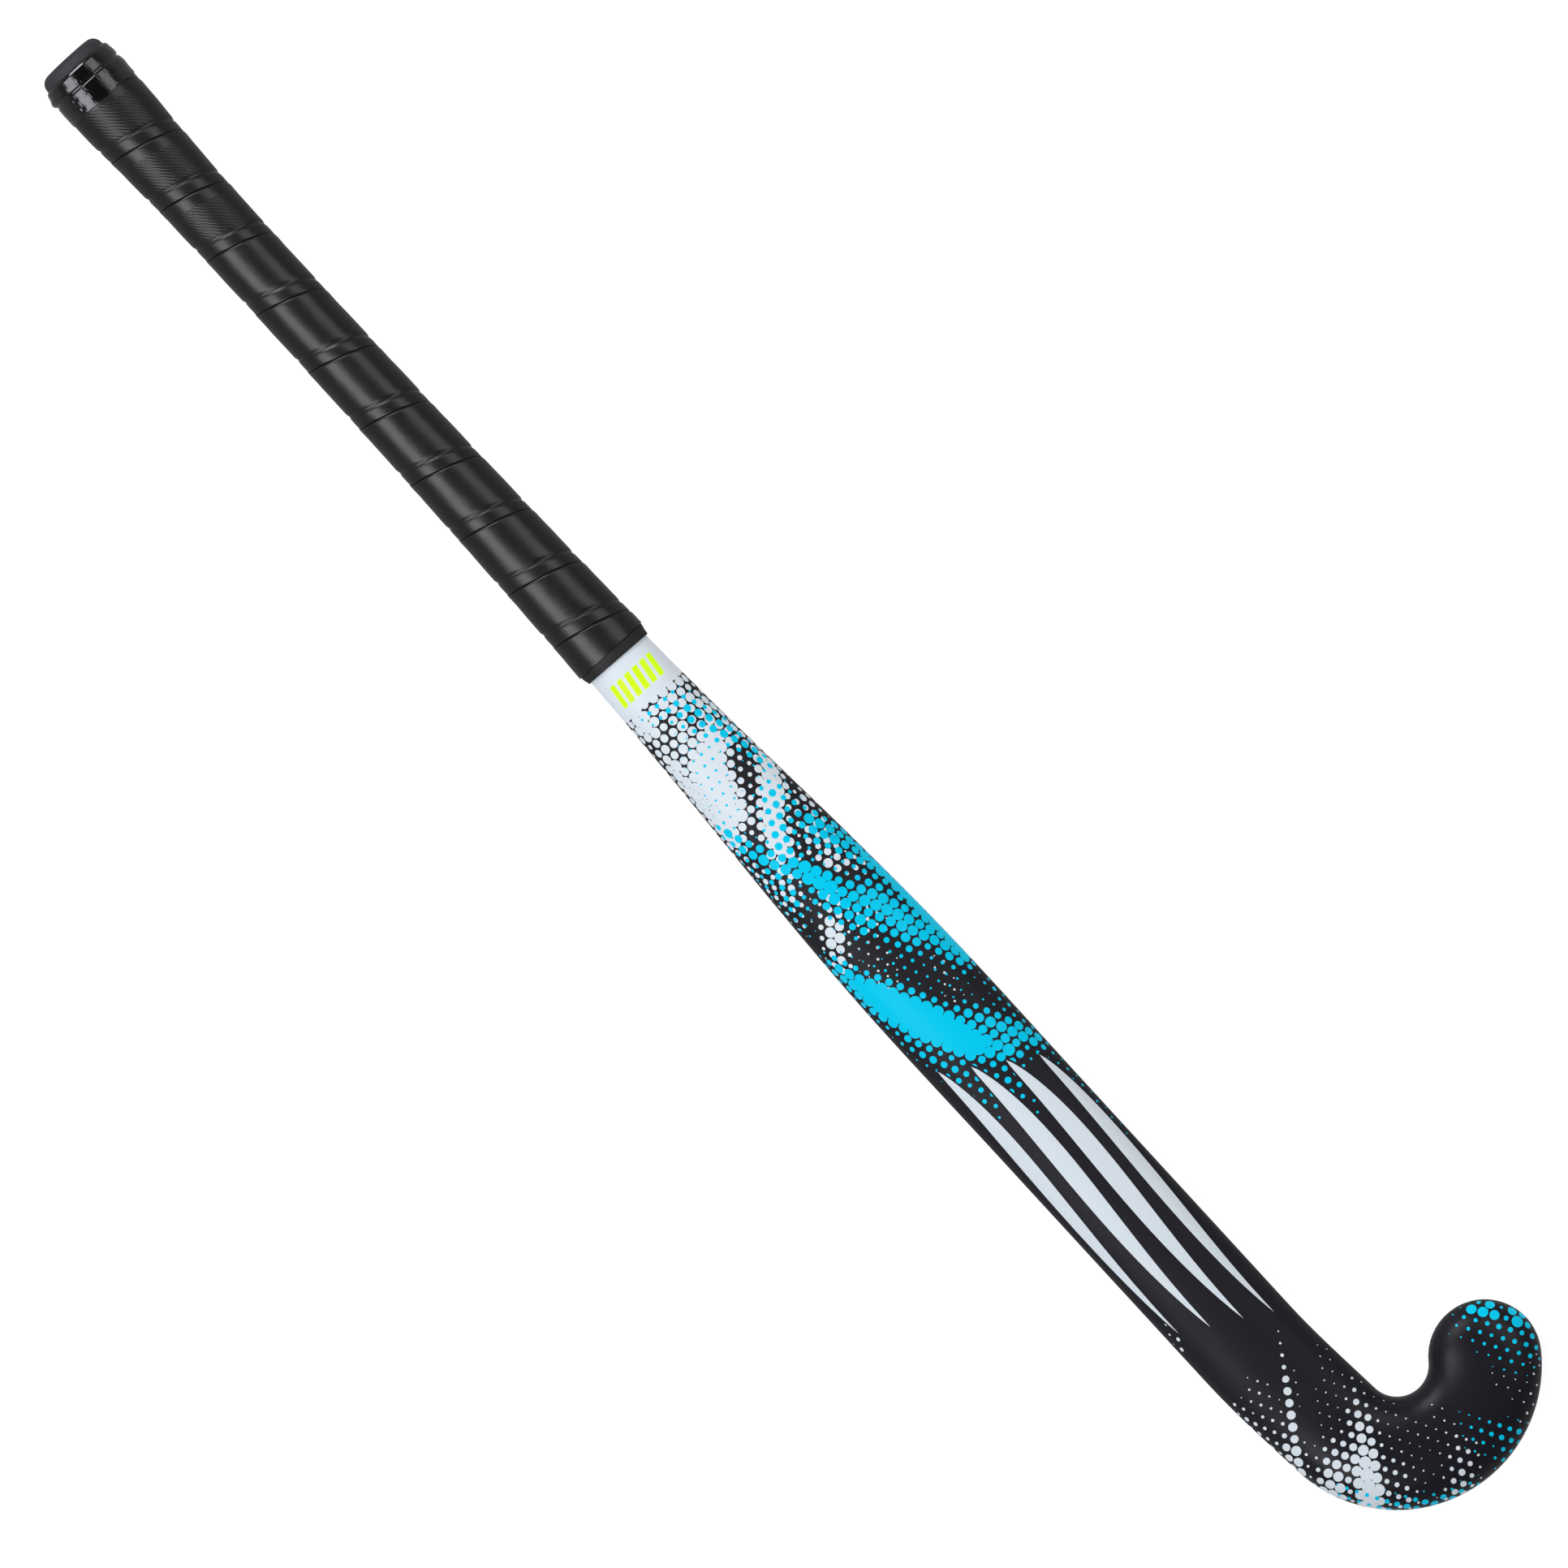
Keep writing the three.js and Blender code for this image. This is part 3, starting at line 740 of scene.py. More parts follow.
def triangulate(outline, shapes, spots):
    """Triangles of the outline's inside, cut along every shape, and the shapes that cover each."""
    shapes = [anticlockwise(shape) for shape in shapes]
    points = np.concatenate([outline, *shapes, spots])
    faces = []
    start = 0
    for shape in [outline, *shapes]:
        faces.append(list(range(start, start + len(shape))))
        start += len(shape)
    made = delaunay_2d_cdt([tuple(p) for p in points], [], faces, 1, 1e-5)
    verts = np.array(made[0])
    places = np.full(len(outline), -1)
    for index, sources in enumerate(made[3]):
        for source in sources:
            if source < len(outline):
                places[source] = index
    return verts, made[2], made[5], places


def skin_surface(rows):
    """The skin's film points, triangles, inks, and the indices of its outline."""
    outline = film_edge(rows)
    shapes = film_drawing()
    kinds = [BLACK] + [ink for _, ink in shapes]
    drawn = [points for points, _ in shapes]
    verts, faces, covers, edge = triangulate(outline, drawn, film_grid(rows))
    kept = [(face, cover) for face, cover in zip(faces, covers) if 0 in cover]
    corners = np.array([face for face, _ in kept])
    inks = np.array([max(kinds[k] for k in cover) for _, cover in kept])
    collar = (verts[corners].mean(1)[:, 0] < COLLAR_TO) & (inks != LIME)
    inks[collar | (inks == MARK)] = WHITE
    inks[inks == GAP_LINE] = BLACK
    return verts, corners, inks, edge


def flat_butt_points():
    """Plan points of the flat face at the butt, from the toe's side to the heel's side."""
    half, _, _, corner, _ = section_sizes(BUTT_FROM)
    offsets = FLAT_SHARES * (half - corner)
    return np.stack([np.full(len(offsets), BUTT_FROM), offsets], -1)


def flat_face(rows, edge_points):
    """The flat playing face between the skin's two rounded corners."""
    outline = np.concatenate([edge_points[:, :2], flat_butt_points()])
    half, _, _, corner, _ = section_sizes(rows[1:])
    middle, heading = centre_at(rows[1:])
    aside = to_toe_side(heading) * (half - corner)[:, None]
    spots = np.concatenate([middle + aside * fraction for fraction in FLAT_SHARES])
    verts, faces, covers, edge = triangulate(outline, [collar_line(COLLAR_LINE_REACH)], spots)
    corners = np.array([face for face, cover in zip(faces, covers) if 0 in cover])
    middle = centre_at(nearest_place(verts))[0]
    return raised(verts, middle[:, 0]), corners[:, ::-1], edge


def face_normals(points):
    middle_x = centre_at(nearest_place(points[:, :2]))[0][:, 0]
    slope = (face_height(middle_x + 0.1) - face_height(middle_x - 0.1)) / 0.2
    return unit(np.stack([slope, np.zeros_like(slope), -np.ones_like(slope)], -1))


def placed(name, data):
    """A new object in the scene."""
    made = bpy.data.objects.new(name, data)
    bpy.context.scene.collection.objects.link(made)
    return made


def new_mesh(name, points, faces, looks, slots=None, normals=None):
    """A smooth mesh object from stick millimetres and faces."""
    mesh = bpy.data.meshes.new(name)
    corners = [tuple(int(i) for i in face) for face in faces]
    mesh.from_pydata([tuple(p) for p in in_row(points)], [], corners)
    for look in looks:
        mesh.materials.append(look)
    if slots is not None:
        mesh.polygons.foreach_set("material_index", np.asarray(slots, np.int32))
    mesh.shade_smooth()
    mesh.update()
    if normals is not None:
        mesh.normals_split_custom_set([tuple(n) for n in normals])
    return placed(name, mesh)


# ---- Materials ----

POLISHED_FROM_TO = (780, 812) # where along the stick the black lacquer gets smoother
THREADS = 900.0 # and foam cells, to a metre


def connect(made, target, **settings):
    """Sets a node's sockets and properties. A socket given another node's output is linked."""
    for name, value in settings.items():
        socket = target.inputs.get(name.replace("_", " "))
        if socket is None:
            setattr(target, name, value)
        elif isinstance(value, bpy.types.NodeSocket):
            made.node_tree.links.new(value, socket)
        else:
            socket.default_value = value
    return target


def node(made, kind, **settings):
    return connect(made, made.node_tree.nodes.new(kind), **settings)


def shader_of(made):
    return made.node_tree.nodes["Principled BSDF"]


def material(name, colour, roughness, **sockets):
    """A new Principled material with plain values on its sockets."""
    made = bpy.data.materials.new(name)
    made.use_nodes = True
    connect(made, shader_of(made), Base_Color=(*colour, 1), Roughness=roughness, **sockets)
    return made


def object_place(made):
    return node(made, "ShaderNodeTexCoord").outputs["Object"]


def noise(made, scale, detail=3.0, stretch=(1, 1, 1)):
    """Noise in object space. scale is in patches per metre."""
    place = node(made, "ShaderNodeMapping", Vector=object_place(made), Scale=stretch).outputs[0]
    return node(made, "ShaderNodeTexNoise", Vector=place, Scale=scale, Detail=detail).outputs["Fac"]


def map_range(made, value, low, high, from_low=0.0, from_high=1.0):
    """A value spread from one range to another, and held at both ends."""
    ends = {"From_Min": from_low, "From_Max": from_high, "To_Min": low, "To_Max": high}
    return node(made, "ShaderNodeMapRange", Value=value, **ends).outputs["Result"]


def add_bump(made, height, depth, strength=1.0):
    """Bumps of this depth in metres, on top of any that are there already."""
    bump = node(made, "ShaderNodeBump", Height=height, Strength=strength, Distance=depth)
    normal = shader_of(made).inputs["Normal"]
    if normal.is_linked:
        connect(made, bump, Normal=normal.links[0].from_socket)
    connect(made, shader_of(made), Normal=bump.outputs["Normal"])


def layered(name, colour, roughness, spread, patches, *grains, **sockets):
    """A material with patchy roughness and layers of bumps.

    spread is the lowest and highest roughness. patches is (patches per metre, detail), and a grain
    is (depth in metres, strength, patches per metre, detail) and perhaps a stretch.
    """
    made = material(name, colour, roughness, **sockets)
    connect(made, shader_of(made), Roughness=map_range(made, noise(made, *patches), *spread))
    for depth, strength, *pattern in grains:
        add_bump(made, noise(made, *pattern), depth, strength)
    return made


def lacquer(name, colour, roughness, gloss=0.16):
    """Satin lacquer over ink, with a faint orange peel and uneven gloss."""
    spread = (roughness - 0.04, roughness + 0.05)
    peel = (0.000006, 1, 900, 2)
    return layered(name, colour, roughness, spread, (90, 2), peel, Specular_IOR_Level=gloss)


def smoother_head(made, polish):
    """Takes this much off the roughness at the head."""
    rough = shader_of(made).inputs["Roughness"]
    split = node(made, "ShaderNodeSeparateXYZ", Vector=object_place(made))
    low, high = in_row([[x, 0, 0] for x in POLISHED_FROM_TO])[:, 0]
    less = map_range(made, split.outputs["X"], 0, -polish, low, high)
    total = node(made, "ShaderNodeMath", operation="ADD")
    links = made.node_tree.links
    links.new(rough.links[0].from_socket, total.inputs[0])
    links.new(less, total.inputs[1])
    links.new(total.outputs["Value"], rough)
    return made


def weave(name, colour):
    """Bare fibreglass: two crossing sets of threads under clear resin."""
    made = material(name, colour, 0.5)
    threads = node(
        made, "ShaderNodeTexChecker", Vector=object_place(made), Scale=THREADS,
        Color1=(*colour, 1), Color2=(*[v * 0.72 for v in colour], 1),
    )
    connect(made, shader_of(made), Base_Color=threads.outputs["Color"])
    add_bump(made, threads.outputs["Fac"], 0.00008)
    return made


def rgb(red, green, blue):
    """An sRGB colour in 0 to 255 as linear values."""
    return tuple(
        v / 255 / 12.92 if v <= 10 else ((v / 255 + 0.055) / 1.055) ** 2.4 for v in (red, green, blue)
    )


# ---- Pieces ----

WELD_STEPS = 2000 # steps to a millimetre: points nearer than one step become one


def inner_wall(rows):
    """The laminate's inner surface, as quads, with the rim that joins it to the outer surface."""
    length = np.abs(FRACTIONS[::-1]) * full_length(BUTT_FROM)
    share = share_of_length(np.full(len(length), BUTT_FROM), length)
    share = np.concatenate([share, 3 - np.abs(FLAT_SHARES[::-1])])
    side = np.concatenate([np.sign(FRACTIONS[::-1]), np.sign(FLAT_SHARES[::-1])])
    places = np.concatenate([rows[:-1:4], rows[-1:]])
    rings = [stick_point(np.full(len(side), place), side, share, SKIN_WALL) for place in places]
    rim = stick_point(np.full(len(side), BUTT_FROM), side, share)
    body = np.array([rim] + rings)
    toe = np.array([inner_cap(turn, share[side >= 0]) for turn in np.linspace(-90, 90, 13)])
    return [grid_quads(body, closed=True), grid_quads(toe, closed=False)]


def inner_cap(turn, share):
    """One half section turned about the upright line through the toe's middle."""
    order = np.argsort(share)
    middle, heading = centre_at(LINE_LENGTH)
    angle = math.radians(turn)
    way = math.cos(angle) * heading + math.sin(angle) * to_toe_side(heading)
    across, up = section_at(LINE_LENGTH, share[order], SKIN_WALL)
    return raised(middle + across[:, None] * way, middle[0], up)


def grid_quads(rings, closed):
    """Points and quads of a grid of rings, closed round each ring or open."""
    count, width = rings.shape[:2]
    points = rings.reshape(-1, 3)
    last = width if closed else width - 1
    i, j = np.meshgrid(np.arange(count - 1), np.arange(last), indexing="ij")
    k = (j + 1) % width
    near = i * width
    far = near + width
    quads = np.stack([near + j, near + k, far + k, far + j], -1)
    return points, quads.reshape(-1, 4)


def shared_points(points):
    """Which points are the first at their place, and the place that each point has."""
    keys = np.round(points * WELD_STEPS).astype(int)
    _, first, place = np.unique(keys, axis=0, return_index=True, return_inverse=True)
    return first, place.ravel()


def welded(parts):
    """Joins (points, faces, inks, normals) parts into one set with shared points."""
    points = np.concatenate([part[0] for part in parts])
    first, place = shared_points(points)
    faces, inks, normals = [], [], []
    start = 0
    for part_points, part_faces, part_inks, part_normals in parts:
        for face, ink in zip(part_faces + start, part_inks):
            pairs = distinct_corners(face, place)
            if len(pairs) < 3:
                continue
            faces.append(list(pairs))
            inks.append(ink)
            normals.extend(part_normals[np.array(list(pairs.values())) - start])
        start += len(part_points)
    used = np.unique([corner for face in faces for corner in face])
    lookup = np.zeros(len(first), int)
    lookup[used] = np.arange(len(used))
    return points[first][used], [lookup[face].tolist() for face in faces], inks, normals


def distinct_corners(face, place):
    """A face's corners by their shared place, each place once."""
    pairs = {}
    for corner in face:
        pairs.setdefault(int(place[corner]), int(corner))
    return pairs


def grid_normals(points, faces):
    """Each point's mean face normal."""
    corners = points[faces[:, :4]]
    flat = np.cross(corners[:, 2] - corners[:, 0], corners[:, 3] - corners[:, 1])
    total = np.zeros_like(points)
    for column in range(faces.shape[1]):
        np.add.at(total, faces[:, column], flat)
    return total / np.maximum(np.linalg.norm(total, axis=1), 1e-9)[:, None]


INK_SLOTS = {BLACK: 0, WHITE: 1, CYAN: 2, LIME: 3, BARE: 4}


def skin():
    """The painted laminate: printed back, plain playing face and bare inside."""
    rows = film_rows()
    verts, corners, inks, edge = skin_surface(rows)
    points = lift(verts)
    chain = edge[: 1 - len(FRACTIONS) + 1]
    flat, flat_corners, flat_edge = flat_face(rows, points[chain])
    flat[flat_edge[: len(chain)]] = points[chain]
    flat_inks = np.where(flat[flat_corners].mean(1)[:, 0] < COLLAR_TO, WHITE, BLACK)
    parts = [
        (points, corners, inks, lifted_normals(verts)),
        (flat, flat_corners, flat_inks, face_normals(flat)),
    ]
    for wall, quads in inner_wall(rows):
        parts.append((wall, quads, np.full(len(quads), BARE), grid_normals(wall, quads)))
    joined_points, faces, face_inks, normals = welded(parts)
    looks = [
        smoother_head(lacquer("black_lacquer", rgb(24, 23, 30), 0.52, 0.2), 0.18),
        lacquer("white_ink", rgb(210, 218, 225), 0.4),
        lacquer("cyan_ink", rgb(0, 194, 229), 0.4, 0.06),
        lacquer("lime_ink", rgb(206, 255, 20), 0.4),
        weave("bare_inside", rgb(200, 195, 160)),
    ]
    slots = [INK_SLOTS[ink] for ink in face_inks]
    made = new_mesh("painted_skin", joined_points, faces, looks, slots, normals)
    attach(made, "root")
    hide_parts("outer_skin")
    return made


# ---- Pieces wound round the handle ----

AROUND = 96 # points round a ring
UNDERSIDE_CORNER = 0.86 # the part of a quarter turn that the rounded corner takes


def side_and_share(turn):
    """The side and share at a part of a full turn: 0 is the toe's side, 0.25 the crest."""
    angle = 4 * (np.asarray(turn, float) % 1)
    side = np.where((angle < 1) | (angle > 3), 1.0, -1.0)
    up = np.minimum(angle, 2 - angle)
    down = np.minimum(angle - 2, 4 - angle)
    corner = 1 + down / UNDERSIDE_CORNER
    flat = 2 + (down - UNDERSIDE_CORNER) / (1 - UNDERSIDE_CORNER)
    under = np.where(down < UNDERSIDE_CORNER, corner, flat)
    return side, np.where(angle <= 2, 1 - up, under)


def handle_point(x, turn, offset):
    """A point this far outside the bare handle."""
    side, share = side_and_share(turn)
    return stick_point(np.broadcast_to(np.asarray(x, float), side.shape), side, share, -offset)


def surface_of_rings(rings, ends="open"):
    """Points and quads of rings from the handle, with capped or joined ends."""
    points, quads = grid_quads(rings, closed=True)
    faces = [list(q) for q in quads]
    count, width = rings.shape[:2]
    if ends == "joined":
        last = (count - 1) * width
        faces += [[last + j, last + (j + 1) % width, (j + 1) % width, j] for j in range(width)]
    if ends == "capped":
        faces.append(list(range(width))[::-1])
        faces.append([(count - 1) * width + j for j in range(width)])
    return points, faces


def handle_piece(name, rings, ends, look, crease=50):
    """A piece on the handle, with its faces turned outwards and creased at sharp corners."""
    made = new_mesh(name, *surface_of_rings(np.array(rings), ends), [look])
    shape = bmesh.new()
    shape.from_mesh(made.data)
    bmesh.ops.recalc_face_normals(shape, faces=shape.faces)
    shape.to_mesh(made.data)
    shape.free()
    made.data.set_sharp_from_angle(angle=math.radians(crease))
    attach(made, "root")
    return made


# Where the edges of the grip's turns cross the toe's side. It was wound by hand, so the turns
# differ a little in width.
SEAMS = [-1.5, 28, 57.5, 87, 116.7, 149.5, 183, 215.5, 248, 279.2, 310.4, 339.6, 371]
FIRST_SEAM = -1
GRIP_SKEW = 3.2
GRIP_STEPS = 72 # rows to a turn
CREASE_FROM_SEAM = 6.7 # a crease where the strip starts to climb over the turn before it
CREASE_HALF_WIDTH = 1.6
CREASE_DEPTH = 0.5
TAIL = 1.8 # how far a turn reaches under the next one
RIBBED_TURNS = 2.25
RIBS_AFTER_SEAM = 4.8
RIBS_BEFORE_SEAM = 7.2
RIBBED_COLUMNS = 34 # the section's first points, which lie on its outer side
RIB_SCALE = 0.3415
STRIP_ROUND = 2 * math.pi * 13.5 # the strip's length in one turn
SEAM_SLOPE = 0.12
LEAST_TURN = 2.0 # the first turn is wound where at least this much of it lies on the grip
# Where a section has its points: from its seam on, and back from the next turn's seam.
FROM_SEAM = [0, 0.05, 0.15, 0.4, 0.9, 1.6, 2.6, 4, 5.6, 7.6]
TO_NEXT_SEAM = [
    10, 9, 8.3, 7.75, 7.2, 6.7, 6.2, 5.65, 5.1, 4.2, 3, 2, 1.2, 0.75, 0.48, 0.28, 0.12, 0.03,
    -0.5, -TAIL,
]
seam_of_turn = curve_through([(i + FIRST_SEAM, x) for i, x in enumerate(SEAMS)])


def seam_at(turn):
    """Where the turn's edge lies along the handle, counted in full turns from the first seam."""
    return seam_of_turn(turn) + GRIP_SKEW * hump(turn % 1 - 0.5, SEAM_SLOPE)


def grip_outside(across, pitch):
    """How far outside the handle the grip's cover is, against the distance from its seam."""
    shape = curve_through([
        (-1, 2.0), (0, 2.2), (0.2, 2.42), (1.2, 2.56), (3, 2.54), (6, 2.48), (10, 2.54),
        (pitch - 12, 2.54), (pitch - 9, 2.52), (pitch - 5, 2.4), (pitch - 1.4, 2.36),
        (pitch - 0.5, 2.26), (pitch - 0.26, 2.05), (pitch - 0.06, 1.45), (pitch + 0.8, 1.25),
        (pitch + TAIL, 1.15),
    ])
    crease = np.maximum(0, 1 - np.abs(across - pitch + CREASE_FROM_SEAM) / CREASE_HALF_WIDTH)
    return shape(across) - CREASE_DEPTH * crease


def grip_inside(across):
    """The grip's inner side. It climbs over the turn before it at the seam."""
    return straight_through([(0, 1.62), (0.8, 1.38), (1.9, 1.28), (2.3, 1.0)], across)


def grip_section(turn):
    """One section through the strip: its outer side from the seam on, then back inside."""
    near = seam_at(turn)
    pitch = seam_at(turn + 1) - near
    middle = list(np.linspace(10, pitch - 12, 7))
    outer = np.array(FROM_SEAM + middle + [pitch - gap for gap in TO_NEXT_SEAM])
    inner = np.array([pitch + TAIL, pitch * 0.66, pitch * 0.33, 2.3, 1.9, 0.8, 0])
    low = max(0.0, GRIP_FROM - near)
    high = min(pitch + TAIL, GRIP_TO - near)
    outer = np.clip(outer, low, high)
    inner = np.clip(inner, low, high)
    across = np.concatenate([outer, inner])
    offset = np.concatenate([grip_outside(outer, pitch), grip_inside(inner)])
    wear = 0.05 * np.sin(7.1 * turn + 0.21 * across) * (across < pitch - 1)
    offset[: len(outer)] += wear[: len(outer)]
    points = handle_point(near + across, np.full(len(across), -turn), offset)
    return points, across, pitch


def grip_rows():
    """Every section of the strip, from where it starts at the butt to its cut end."""
    rows = []
    for step in range(-2 * GRIP_STEPS, 12 * GRIP_STEPS):
        turn = step / GRIP_STEPS
        if seam_at(turn + 1) + TAIL < GRIP_FROM + LEAST_TURN or seam_at(turn) > GRIP_TO - 1.5:
            continue
        rows.append((turn, *grip_section(turn)))
    return rows


def is_ribbed(face, rows, width):
    """Whether a face of the grip lies in the ribbed part of a turn."""
    turn = np.mean([rows[corner // width][0] for corner in face])
    middle = np.mean([rows[corner // width][2][corner % width] for corner in face])
    pitch = rows[face[0] // width][3]
    inside_margins = RIBS_AFTER_SEAM < middle < pitch - RIBS_BEFORE_SEAM
    return turn < RIBBED_TURNS and inside_margins and face[0] % width < RIBBED_COLUMNS


def grip():
    """The cushioned strip: one long ribbon wound round the handle in overlapping turns."""
    rows = grip_rows()
    rings = np.array([row[1] for row in rows])
    points, faces = surface_of_rings(rings, "capped")
    width = rings.shape[1]
    turns = np.repeat([row[0] for row in rows], width)
    uv = np.stack([-turns * STRIP_ROUND, np.concatenate([row[2] for row in rows])], -1)
    first, place = shared_points(points)
    kept = []
    for face in faces:
        pairs = distinct_corners(face, place)
        if len(pairs) > 2:
            kept.append((list(pairs), list(pairs.values()), int(is_ribbed(face, rows, width))))
    corners, sources, slots = zip(*kept)
    made = new_mesh("grip_wrap", points[first], corners, [grip_cover(), ribbed_cover()], slots)
    layer = made.data.uv_layers.new(name="strip")
    coords = np.concatenate([uv[source] for source in sources])
    layer.data.foreach_set("uv", coords.ravel().astype(np.float32))
    made.data.set_sharp_from_angle(angle=math.radians(38))
    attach(made, "root")
    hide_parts("grip_strip")


GRIP_BLACK = (13, 11, 13)
SOFT_DENTS = (0.0006, 0.6, 70, 2)


def grip_cover():
    """Satin polyurethane with a fine leather grain."""
    grain = (0.00003, 1, 1500, 3)
    return layered(
        "grip_cover", rgb(*GRIP_BLACK), 0.4, (0.31, 0.38), (120, 3), SOFT_DENTS, grain,
        Specular_IOR_Level=0.55,
    )


def ribbed_cover():
    """The same cover with fine diagonal ribs pressed into it."""
    made = layered(
        "grip_ribs", rgb(*GRIP_BLACK), 0.4, (0.32, 0.39), (150, 3), SOFT_DENTS,
        Specular_IOR_Level=0.5,
    )
    place = node(made, "ShaderNodeUVMap", uv_map="strip").outputs["UV"]
    ribs = node(
        made, "ShaderNodeTexWave", bands_direction="DIAGONAL", Vector=place, Scale=RIB_SCALE,
    )
    add_bump(made, ribs.outputs["Fac"], 0.00008)
    return made


TAPE_AROUND = 160 # points round a ring of the top tape
TAPE_RISE = [
    (5.6, 1.8), (6.2, 2.45), (7.2, 2.8), (11.6, 2.95), (12.4, 2.85), (14.3, 2.8), (24, 2.9),
]
TAPE_INSIDE = [(5.6, 1.55), (12.5, 2.4), (24, 2.58)]
QUARTER_WIDTH = 0.13 # how much of a turn a bulge takes at the heel's side, toe's side or underneath


def top_tape_offset(x, turn):
    """The glossy tape's height over the handle: two stretched bands with a groove between."""
    heel = hump(turn - 0.5, QUARTER_WIDTH)
    toe = hump(np.minimum(turn, 1 - turn), QUARTER_WIDTH)
    under = hump(turn - 0.75, QUARTER_WIDTH)
    first = (0.06 + 0.95 * heel + 0.15 * toe) * hump(x - 11, 2.0)
    second = (0.08 + 0.1 * heel + 0.35 * toe) * hump(x - 17, 2.6)
    shoulder = hump(turn - 0.35, 0.06) * smooth(14.5, 17, x)
    folds = 0.14 * np.sin(1.25 * (x - 20) * np.sign(turn - 0.35) + 40 * (turn - 0.35)) * shoulder
    slack = 0.025 * np.sin(0.9 * (x - 38 * turn)) * smooth(14, 16, x)
    bands = (first + second) * (1 - under) - 0.65 * hump(x - 13.3, 0.55)
    return straight_through(TAPE_RISE, x) + bands + folds + slack - 0.12 * under


def top_tape():
    """Glossy tape stretched over the cap's rim and the start of the grip."""
    turns = np.arange(TAPE_AROUND) / TAPE_AROUND
    rings = []
    for x in [5.6, 5.7, 5.9, *np.linspace(6.3, 23.4, 58), 23.8, 24.0]:
        shy = 0.35 * max(0, 1 - (x - TOP_TAPE_FROM) / 0.3) + 0.2 * max(0, 1 - (TOP_TAPE_TO - x) / 0.4)
        rings.append(handle_point(x, turns, top_tape_offset(x, turns) - shy))
    for x in (24, 18, 14, 10, 5.6):
        rings.append(handle_point(x, turns, straight_through(TAPE_INSIDE, x)))
    creases = (0.0002, 0.5, 260, 3, (1, 3, 3))
    vinyl = layered(
        "vinyl_tape", rgb(8, 8, 11), 0.12, (0.08, 0.18), (200, 3), creases, (0.000006, 1, 2500, 2),
        Specular_IOR_Level=0.85,
    )
    made = handle_piece("top_tape", rings, "joined", vinyl)
    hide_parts("top_finishing_tape")


LOWER_TAPE_PROFILE = [
    (0, 1.7), (0.02, 1.86), (0.12, 1.86), (0.3, 1.72), (0.55, 1.4), (0.8, 1.12), (0.94, 0.98),
    (0.99, 0.88), (1, 0.74), (1, 0.4), (0.5, 0.5), (0, 0.7),
]


def lower_tape():
    """The dull tape that holds the grip's lower end. Its edge isn't quite square."""
    turns = np.arange(128) / 128
    slant = 0.45 * np.cos(2 * math.pi * turns)
    rings = []
    for part, offset in LOWER_TAPE_PROFILE:
        x = blend(GRIP_TO + 0.06, LOWER_TAPE_TO - 0.5 + slant, part)
        wave = 0.05 * np.sin(5 * 2 * math.pi * turns + 9 * part) + 0.04 * np.sin(22 * turns + 3)
        rings.append(handle_point(x, turns, offset + wave * (offset > 0.85)))
    wrinkles = (0.0003, 0.6, 160, 3, (4, 1, 1))
    dull = layered(
        "dull_tape", rgb(16, 14, 16), 0.6, (0.52, 0.68), (300, 3), wrinkles, (0.00002, 1, 1800, 2),
    )
    made = handle_piece("lower_tape", rings, "joined", dull, crease=60)
    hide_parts("lower_finishing_tape")


CAP_RIM = 4.4
CAP_OUTSIDE = 1.35
CAP_CLEARANCE = 0.3
CAP_FLOOR = 3.0 # how deep the cap's end is, from outside
CAP_END = 0.12
CAP_DISH = 0.25
CAP_SIDE = [(CAP_SKIRT_TO, 1.7), (9, 1.65), (6.5, 1.5), (5.4, 1.42)]


def end_cap():
    """The rubber cap over the butt: a cup with a rounded rim and a slightly dished end."""
    turns = np.arange(AROUND) / AROUND
    sizes = [(CAP_FLOOR, CAP_CLEARANCE, scale) for scale in (0.02, 0.5, 1)]
    sizes.append((CAP_SKIRT_TO, CAP_CLEARANCE, 1))
    sizes += [(x, offset, 1) for x, offset in CAP_SIDE]
    for angle in np.arange(1, 9) * math.pi / 16:
        x = CAP_END + CAP_RIM * (1 - math.sin(angle))
        sizes.append((x, CAP_OUTSIDE - CAP_RIM * (1 - math.cos(angle)), 1))
    for scale in (0.93, 0.86, 0.7, 0.5, 0.3, 0.12, 0.02):
        dish = CAP_DISH * (1 - smooth(0.75, 0.95, scale))
        sizes.append((CAP_END + dish, CAP_OUTSIDE - CAP_RIM, scale))
    rings = [end_ring(x, turns, offset, scale) for x, offset, scale in sizes]
    rubber = layered(
        "cap_rubber", rgb(46, 45, 50), 0.6, (0.5, 0.75), (400, 4), (0.00014, 0.8, 900, 4),
        (0.00003, 1, 3500, 2), Specular_IOR_Level=0.35,
    )
    made = handle_piece("rubber_cap", rings, "capped", rubber, crease=55)
    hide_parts("end_cap")


def end_ring(x, turns, offset, scale):
    """A ring of the cap, drawn in towards the middle of the section by a scale."""
    ring = handle_point(x, turns, offset)
    middle = ring.mean(0)
    return middle + (ring - middle) * scale


# ---- Hidden CAD pieces keep their shape and get real materials ----


def foam(name, colour):
    """Rigid foam with small cells. Each cell's pit is painted darker: painted shade in the hollows.
    """
    made = material(name, colour, 0.9)
    cells = node(made, "ShaderNodeTexVoronoi", Vector=object_place(made), Scale=THREADS)
    depths = cells.outputs["Distance"]
    # Painted shade: the colour darkens towards each cell's middle, where the bump sinks into a pit.
    pit_shade = node(made, "ShaderNodeValToRGB", Fac=map_range(made, depths, 0, 1))
    pit_shade.color_ramp.elements[0].color = (*[v * 0.8 for v in colour], 1)
    pit_shade.color_ramp.elements[1].color = (*colour, 1)
    connect(made, shader_of(made), Base_Color=pit_shade.outputs["Color"])
    add_bump(made, depths, 0.0004)
    return made


def moulded(name, colour):
    return layered(name, colour, 0.5, (0.42, 0.58), (300, 3), (0.00003, 1, 1500, 3))


